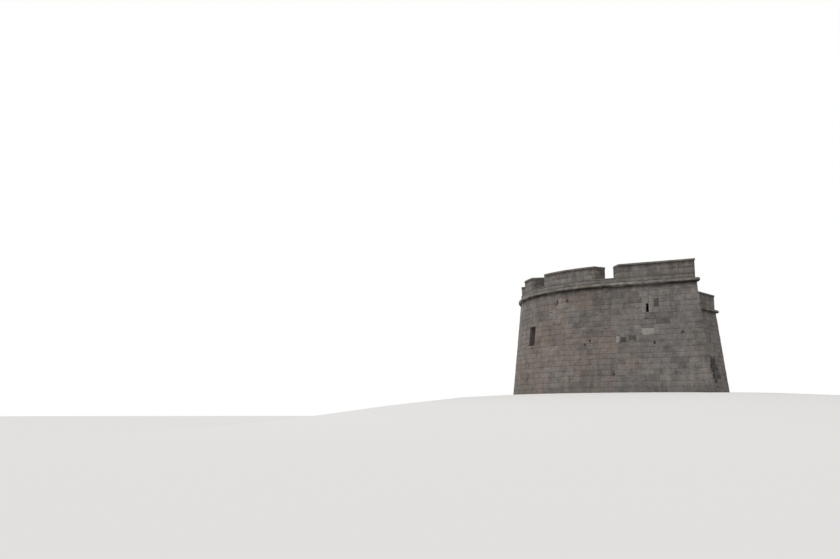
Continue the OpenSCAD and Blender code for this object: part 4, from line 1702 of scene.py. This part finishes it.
@dataclass
class Effects:
    """Node groups that several finishes share, and the linear colours of what they add."""

    cool: tuple[Colour, Colour] = ((0.088, 0.088, 0.085), (0.195, 0.193, 0.186))
    repair: tuple[Colour, Colour] = ((0.2, 0.185, 0.165), (0.4, 0.37, 0.33))
    stain: Colour = (0.06, 0.056, 0.052)
    # Near-black that dark stones lean to; at kind 0 it is the painted shade of a hole
    dark_stone_and_hole_shade: Colour = (0.02, 0.019, 0.018)
    run_off: Colour = (0.06, 0.056, 0.05)
    # Painted shade, with some dirt, in a band just under a ledge
    ledge_shade_and_dirt: Colour = (0.036, 0.03, 0.026)
    pale_streak: Colour = (0.3, 0.25, 0.21)
    damp: Colour = (0.08, 0.078, 0.068)
    # Painted shade of deep worn joints, as short level dashes
    worn_joint_shade: Colour = (0.05, 0.045, 0.04)
    lichen: Colour = (0.36, 0.34, 0.28)
    # Painted shade on faces that look down
    underside: Colour = (0.022, 0.018, 0.016)
    # Scale, finer layers and amount of each noise that the stone's tone swings with
    swings: tuple[tuple[float, float, float], ...] = (
        (0.16, 2.0, 0.45), (0.55, 4.0, 0.6), (1.9, 5.0, 0.75), (7.0, 5.0, 0.6), (36.0, 3.0, 0.35))

    def __post_init__(self) -> None:
        """Build each group once."""
        self.tone = self._tone_group()
        self.weather_and_shade = self._weather_and_shade_group()
        self.relief = self._relief_group()

    @staticmethod
    def _group(name: str, inputs: dict[str, float | None],
               output: str) -> tuple[Graph, dict[str, Socket], Callable[[Socket], bpy.types.NodeTree]]:
        """Start a group with its sockets.

        Args:
            name: Name of the group.
            inputs: Usual value of each input, or None for a colour.
            output: Name of its one output, Color or Normal.

        Returns:
            Its graph, its inputs, and a function that joins its output and returns the group.
        """
        tree = bpy.data.node_groups.new(name, "ShaderNodeTree")
        for label, value in inputs.items():
            kind = "NodeSocketColor" if value is None else "NodeSocketFloat"
            socket = tree.interface.new_socket(name=label, in_out="INPUT", socket_type=kind)
            socket.default_value = (0.2, 0.2, 0.2, 1.0) if value is None else value
        kind = "NodeSocketColor" if output == "Color" else "NodeSocketVector"
        tree.interface.new_socket(name=output, in_out="OUTPUT", socket_type=kind)
        graph = Graph(tree)
        given, out = graph.add("NodeGroupInput").outputs, graph.add("NodeGroupOutput").inputs

        def close(result: Socket) -> bpy.types.NodeTree:
            """Join the output, and return the group."""
            graph.feed(out, {output: result})
            return tree

        return graph, {label: given[label] for label in inputs}, close

    def _tone_group(self) -> bpy.types.NodeTree:
        """Build the colour of weathered stone, which changes from stone to stone and within each one.

        Returns:
            The group.
        """
        g, given, close = self._group(
            "stone tone", {"Dark": None, "Light": None, "Warm": None, "Spread": 0.5}, "Color")
        where, (tone, warm, kind) = g.point(), g.tint()
        level = g.times(g.math("SUBTRACT", tone, 0.5), given["Spread"])
        for scale, detail, amount in self.swings:
            swing = g.spread(g.noise(where, scale, detail, 0.6), 0.25, 0.75, -0.5, 0.5)
            level = g.plus(level, g.times(swing, amount))
        level = g.plus(level, 0.5, clamp=True)
        own = g.times(g.math("SUBTRACT", warm, 0.6), 0.9)
        warmth = g.plus(g.spread(g.noise(where, 0.5, 5.0), 0.4, 0.68), own, clamp=True)
        cool = g.times(g.spread(g.noise(where, 0.42, 7.0, 0.65), 0.52, 0.66), 0.55)
        stain = g.times(g.spread(g.noise(where, 1.0, 8.0, 0.7, (0.9, 0.9, 1.7)), 0.54, 0.66), 0.6)
        colour = g.mix(level, given["Dark"], given["Light"])
        # Low kinds blend towards near-black: darker stones, and at kind 0 the painted shade of a hole
        for mask, added in ((warmth, g.mix(level, given["Dark"], given["Warm"])),
                            (cool, g.mix(level, *self.cool)), (stain, self.stain),
                            (g.spread(kind, 0.6, 1.0), g.mix(level, *self.repair)),
                            (g.spread(kind, 0.4, 0.0), self.dark_stone_and_hole_shade)):
            colour = g.mix(mask, colour, added)
        return close(colour)

    def _weather_and_shade_group(self) -> bpy.types.NodeTree:
        """Build streaks, damp and lichen, and painted shade: a dark band under a ledge, partly dirt, dark
        dashes of worn joints and dark undersides.

        Returns:
            The group.
        """
        g, given, close = self._group(
            "weather_and_shade", {"Color": None, "Ledge": 8.0, "Streaks": 0.4, "Lichen": 0.3, "Damp": 0.3}, "Color")
        where = g.point()
        height = g.add("ShaderNodeSeparateXYZ", {0: where}).outputs[2]
        below = g.math("SUBTRACT", given["Ledge"], height)
        fade = g.spread(below, 0.0, 4.0, 1.0, 0.2)
        streak = g.spread(g.noise(where, 1.0, 5.0, 0.6, (2.6, 2.6, 0.2)), 0.48, 0.68)
        # Depth under the ledge, which a band of painted shade and dirt follows
        edge = g.plus(below, g.spread(g.noise(where, 2.2), 0.3, 0.7, -0.12, 0.12))
        pale = g.spread(g.noise(where, 1.0, 4.0, 0.55, (3.4, 3.4, 0.13)), 0.52, 0.66)
        pale = g.times(pale, g.spread(height, 6.5, 1.5, 0.0, 0.55))
        foot = g.plus(height, g.spread(g.noise(where, 1.3), 0.2, 0.8, -0.6, 0.6))
        # Short level dashes of painted shade in worn joints
        worn_joint_shade = g.spread(g.noise(where, 1.0, 6.0, 0.6, (1.7, 1.7, 6.5)), 0.6, 0.68)
        patch = g.spread(g.noise(where, 2.3, 8.0, 0.7), 0.56, 0.66)
        speck = g.spread(g.cells(where, 18.0), 0.1, 0.4, 1.0, 0.0)
        # Faces that look down get uneven painted shade
        normal = g.add("ShaderNodeNewGeometry").outputs["Normal"]
        facing = g.add("ShaderNodeSeparateXYZ", {0: normal}).outputs[2]
        uneven = g.spread(g.noise(where, 0.7, 6.0, 0.65), 0.4, 0.56, 0.35, 1.0)
        colour = given["Color"]
        for mask, amount, added in ((g.times(streak, fade), given["Streaks"], self.run_off),
                                    (g.spread(edge, 0.02, 0.34, 1.0, 0.0), 0.8, self.ledge_shade_and_dirt),
                                    (pale, given["Streaks"], self.pale_streak),
                                    (g.spread(foot, 0.1, 1.1, 1.0, 0.0), given["Damp"], self.damp),
                                    (worn_joint_shade, given["Streaks"], self.worn_joint_shade),
                                    (g.times(patch, speck), given["Lichen"], self.lichen),
                                    (g.spread(facing, -0.02, -0.4), uneven, self.underside)):
            colour = g.mix(g.times(mask, amount), colour, added)
        return close(colour)

    def _relief_group(self) -> bpy.types.NodeTree:
        """Build the bumps of hewn and pitted stone.

        Returns:
            The group.
        """
        g, given, close = self._group("stone relief", {"Strength": 0.5, "Distance": 0.02}, "Normal")
        where = g.point()
        pits = g.spread(g.cells(where, 22.0), 0.0, 0.3)
        height = g.plus(g.noise(where, 5.0, 7.0, 0.62), g.times(pits, 0.15))
        height = g.plus(height, g.times(g.noise(where, 30.0, 4.0, 0.6), 0.25))
        return close(g.add("ShaderNodeBump", {**given, "Height": height}).outputs["Normal"])


class Finish(ABC):
    """A finish of the tower's surfaces. Its colours are linear."""

    name: str

    def build(self, effects: Effects) -> bpy.types.Material:
        """Build the material.

        Args:
            effects: The node groups that finishes share.

        Returns:
            The material.
        """
        material = bpy.data.materials.new(self.name)
        material.use_nodes = True
        g = Graph(material.node_tree)
        g.feed(material.node_tree.nodes["Principled BSDF"].inputs, self.surface(g, effects))
        return material

    @abstractmethod
    def surface(self, g: Graph, effects: Effects) -> dict[str, object]:
        """Return what the Principled inputs get."""


@dataclass(frozen=True)
class StoneFinish(Finish):
    """A weathered stone finish. The ledge is the height that streaks start from, and that a band of painted
    shade and dirt lies just under.
    """

    name: str
    dark: Colour
    light: Colour
    warm: Colour
    ledge: float = 20.0
    lichen: float = 0.35
    damp: float = 0.0
    spread: float = 0.34
    streaks: float = 0.45
    relief: float = 0.55
    rough: float = 0.92

    def surface(self, g: Graph, effects: Effects) -> dict[str, object]:
        """Build the stone's colour and relief.

        Args:
            g: The material's graph.
            effects: The node groups that finishes share.

        Returns:
            What the Principled inputs get.
        """
        values = {"Dark": self.dark, "Light": self.light, "Warm": self.warm, "Spread": self.spread}
        tone = g.add("ShaderNodeGroup", values, node_tree=effects.tone)
        values = {"Color": tone.outputs[0], "Ledge": self.ledge, "Streaks": self.streaks,
                  "Lichen": self.lichen, "Damp": self.damp}
        weather_and_shade = g.add("ShaderNodeGroup", values, node_tree=effects.weather_and_shade)
        relief = g.add("ShaderNodeGroup", {"Strength": self.relief}, node_tree=effects.relief)
        return {"Base Color": weather_and_shade.outputs[0], "Normal": relief.outputs[0], "Roughness": self.rough,
                "Specular IOR Level": 0.3}


@dataclass(frozen=True)
class MortarFinish(Finish):
    """The core and mortar behind the stones, and the plain surfaces inside. The ledge is as stone has it."""

    name: str
    ledge: float
    dark: Colour = (0.11, 0.1, 0.091)
    light: Colour = (0.3, 0.27, 0.244)

    def surface(self, g: Graph, effects: Effects) -> dict[str, object]:
        """Build the mortar's colour and grain.

        Args:
            g: The material's graph.
            effects: The node groups that finishes share.

        Returns:
            What the Principled inputs get.
        """
        where = g.point()
        colour = g.mix(g.spread(g.noise(where, 0.5, 8.0, 0.65), 0.33, 0.6), self.dark, self.light)
        weather_and_shade = g.add("ShaderNodeGroup", {"Color": colour, "Ledge": self.ledge}, node_tree=effects.weather_and_shade)
        bump = g.add("ShaderNodeBump", {"Strength": 0.6, "Distance": 0.02, "Height": g.noise(where, 40.0)})
        return {"Base Color": weather_and_shade.outputs[0], "Normal": bump.outputs[0], "Roughness": 0.95}


@dataclass(frozen=True)
class WoodFinish(Finish):
    """Weathered oak, with its grain along the planks."""

    name: str = "weathered oak"
    dark: Colour = (0.04, 0.028, 0.02)
    light: Colour = (0.13, 0.095, 0.068)

    def surface(self, g: Graph, effects: Effects) -> dict[str, object]:
        """Build the grain.

        Args:
            g: The material's graph.
            effects: The node groups that finishes share, none of which is used here.

        Returns:
            What the Principled inputs get.
        """
        grain = g.noise(g.point(), 1.0, 6.0, 0.65, (28.0, 28.0, 1.6))
        level = g.plus(g.times(grain, 0.7), g.times(g.tint()[0], 0.35), clamp=True)
        bump = g.add("ShaderNodeBump", {"Strength": 0.5, "Distance": 0.004, "Height": grain})
        return {"Base Color": g.mix(level, self.dark, self.light), "Normal": bump.outputs[0],
                "Roughness": 0.8}


@dataclass(frozen=True)
class IronFinish(Finish):
    """Rusted wrought iron."""

    name: str = "rusted iron"
    dark: Colour = (0.025, 0.02, 0.018)
    rust: Colour = (0.11, 0.05, 0.025)

    def surface(self, g: Graph, effects: Effects) -> dict[str, object]:
        """Build the rust.

        Args:
            g: The material's graph.
            effects: The node groups that finishes share, none of which is used here.

        Returns:
            What the Principled inputs get.
        """
        level = g.spread(g.noise(g.point(), 14.0, 6.0, 0.7), 0.35, 0.65)
        return {"Base Color": g.mix(level, self.dark, self.rust), "Metallic": 0.6,
                "Roughness": g.spread(level, 0.0, 1.0, 0.5, 0.85)}


@dataclass(frozen=True)
class GroundFinish(Finish):
    """The pale ground, which doesn't shine."""

    name: str = "pale ground"
    tone: Colour = (0.72, 0.71, 0.7)

    def surface(self, g: Graph, effects: Effects) -> dict[str, object]:
        """Return what the Principled inputs get."""
        return {"Base Color": self.tone, "Roughness": 1.0, "Specular IOR Level": 0.0}


FINISHES = {
    Slot.ROUND: StoneFinish("weathered round wall stone", (0.093, 0.081, 0.074), (0.212, 0.182, 0.164),
                            (0.214, 0.17, 0.143), ledge=8.05, damp=0.3),
    Slot.FLANK: StoneFinish("weathered flank stone", (0.094, 0.087, 0.082), (0.215, 0.198, 0.186),
                            (0.215, 0.178, 0.154), ledge=8.05, damp=0.3),
    Slot.DRESSED: StoneFinish("dressed stone", (0.11, 0.1, 0.09), (0.25, 0.23, 0.21),
                              (0.23, 0.18, 0.14), damp=0.3),
    Slot.CORDON: StoneFinish("cordon stone", (0.1, 0.092, 0.082), (0.27, 0.25, 0.228),
                             (0.23, 0.19, 0.15), lichen=0.5),
    Slot.PARAPET: StoneFinish("parapet stone", (0.09, 0.084, 0.078), (0.228, 0.211, 0.197),
                              (0.212, 0.174, 0.148), ledge=9.645),
    Slot.COPING: StoneFinish("coping stone", (0.092, 0.084, 0.076), (0.235, 0.215, 0.195),
                             (0.21, 0.175, 0.14), lichen=0.6),
    Slot.FLOOR: StoneFinish("terrace paving", (0.13, 0.12, 0.105), (0.24, 0.22, 0.2), (0.2, 0.165, 0.13)),
    Slot.DOOR: WoodFinish(),
}


@dataclass
class Stage:
    """The plain pale ground, which falls away from the tower's foot."""

    profile: tuple[Pair, ...] = ((0.0, -0.002), (12.6, -0.002), (16.0, -0.18), (22.0, -0.85), (30.0, -1.95),
                                 (38.0, -2.8), (46.0, -3.12), (60.0, -3.2), (500.0, -3.2))
    steps: int = 96

    def build(self, effects: Effects) -> None:
        """Build the ground as a turned profile.

        Args:
            effects: The node groups that finishes share.
        """
        bm = bmesh.new()
        verts = [bm.verts.new((r, 0, z)) for r, z in self.profile]
        edges = [bm.edges.new(pair) for pair in pairwise(verts)]
        bmesh.ops.spin(bm, geom=[*verts, *edges], cent=(0, 0, 0), axis=(0, 0, 1), angle=math.tau,
                       steps=self.steps, use_merge=True)
        bmesh.ops.remove_doubles(bm, verts=bm.verts[:], dist=TOUCH)
        bmesh.ops.recalc_face_normals(bm, faces=bm.faces[:])
        if sum(f.normal.z for f in bm.faces) < 0:
            bmesh.ops.reverse_faces(bm, faces=bm.faces[:])
        for face in bm.faces:
            face.smooth = True
        ground = linked("ground", bm)
        dress(ground, GroundFinish().build(effects))


@dataclass
class Studio:
    """Soft light all round, one large soft lamp high up, and the white background."""

    sky: float = 0.72
    sky_tone: Colour = (1.0, 0.99, 0.98)
    lamp: float = 1.5
    lamp_angle: float = math.radians(55)
    lamp_from: Colour = (-0.55, 0.75, 0.95)

    def build(self) -> None:
        """Build the world and the lamp."""
        world = bpy.data.worlds.new("studio")
        world.use_nodes = True
        bpy.context.scene.world = world
        world.node_tree.nodes.clear()
        g = Graph(world.node_tree)
        light = g.add("ShaderNodeBackground", {"Color": self.sky_tone, "Strength": self.sky})
        white = g.add("ShaderNodeBackground", {"Color": (1.0, 1.0, 1.0), "Strength": 1.0})
        path = g.add("ShaderNodeLightPath")
        seen = g.math("MAXIMUM", path.outputs["Is Camera Ray"], path.outputs["Is Glossy Ray"])
        seen = g.math("MAXIMUM", seen, path.outputs["Is Transmission Ray"])
        mixed = g.add("ShaderNodeMixShader", {0: seen, 1: light.outputs[0], 2: white.outputs[0]})
        g.add("ShaderNodeOutputWorld", {0: mixed.outputs[0]})
        lamp = bpy.data.lights.new("soft lamp", "SUN")
        lamp.energy = self.lamp
        lamp.angle = self.lamp_angle
        holder = bpy.data.objects.new("soft lamp", lamp)
        holder.rotation_euler = Vector(self.lamp_from).to_track_quat("Z", "Y").to_euler()
        bpy.context.scene.collection.objects.link(holder)


@dataclass(frozen=True)
class Viewpoint:
    """The photograph's viewpoint, with the lens in pixels of an 840 wide picture."""

    location: Colour = (-72.66, -10.42, -1.47)
    forward: Pair = (0.9186, 0.3951)
    pitch: float = math.radians(9.31)
    focal_px: float = 816.0
    width_px: float = 840.0
    sensor_mm: float = 36.0

    def build(self) -> None:
        """Build the camera."""
        data = bpy.data.cameras.new("viewpoint")
        data.sensor_width = self.sensor_mm
        data.lens = self.sensor_mm * self.focal_px / self.width_px
        data.clip_end = 2000.0
        camera = bpy.data.objects.new("viewpoint", data)
        level = Vector((*self.forward, 0)).normalized()
        look = level * math.cos(self.pitch) + Vector((0, 0, 1)) * math.sin(self.pitch)
        camera.location = self.location
        camera.rotation_euler = look.to_track_quat("-Z", "Y").to_euler()
        bpy.context.scene.collection.objects.link(camera)
        bpy.context.scene.camera = camera


def dress(piece: Piece, material: bpy.types.Material) -> None:
    """Give a piece one material in place of those it has."""
    piece.data.materials.clear()
    piece.data.materials.append(material)


def main() -> None:
    """Build all the pieces, the finishes, the stage, the lights and the view."""
    logging.basicConfig(level=logging.INFO, format="%(message)s")
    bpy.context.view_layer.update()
    plan = TowerPlan()
    effects = Effects()
    materials = {slot: finish.build(effects) for slot, finish in FINISHES.items()}
    iron = IronFinish().build(effects)
    wall_mortar = MortarFinish("wall mortar", plan.wall_h).build(effects)
    parapet_mortar = MortarFinish("parapet mortar", plan.coping_z).build(effects)
    # The walls round the windows get a darker, browner mortar: painted shade in the window reveals
    reveal_shade = MortarFinish("window reveal", plan.wall_h, (0.068, 0.056, 0.048), (0.165, 0.135, 0.118))
    reveal_shade_mortar = reveal_shade.build(effects)
    for subpart in frame["record"]["subparts"]:
        high = Slot(subpart["material_slot"]) in (Slot.CORDON, Slot.PARAPET, Slot.COPING)
        core = parapet_mortar if high else wall_mortar
        if "window_wall" in subpart["node"]:
            core = reveal_shade_mortar
        dress(frame["nodes"][subpart["node"]], core)
    walls = WallFacing(plan)
    parts = (walls, Dressings(plan, walls.beds), Cordon(plan), Parapet(plan), Paving(plan), GateDoor(plan))
    for piece in [piece for part in parts for piece in part.build()]:
        dress(piece, iron if piece.name == "door_irons" else materials[Slot(piece["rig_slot"])])
    Stage().build(effects)
    Studio().build()
    Viewpoint().build()
    scene = bpy.context.scene
    scene.view_settings.view_transform = "Standard"


if __name__ == "__main__":
    main()
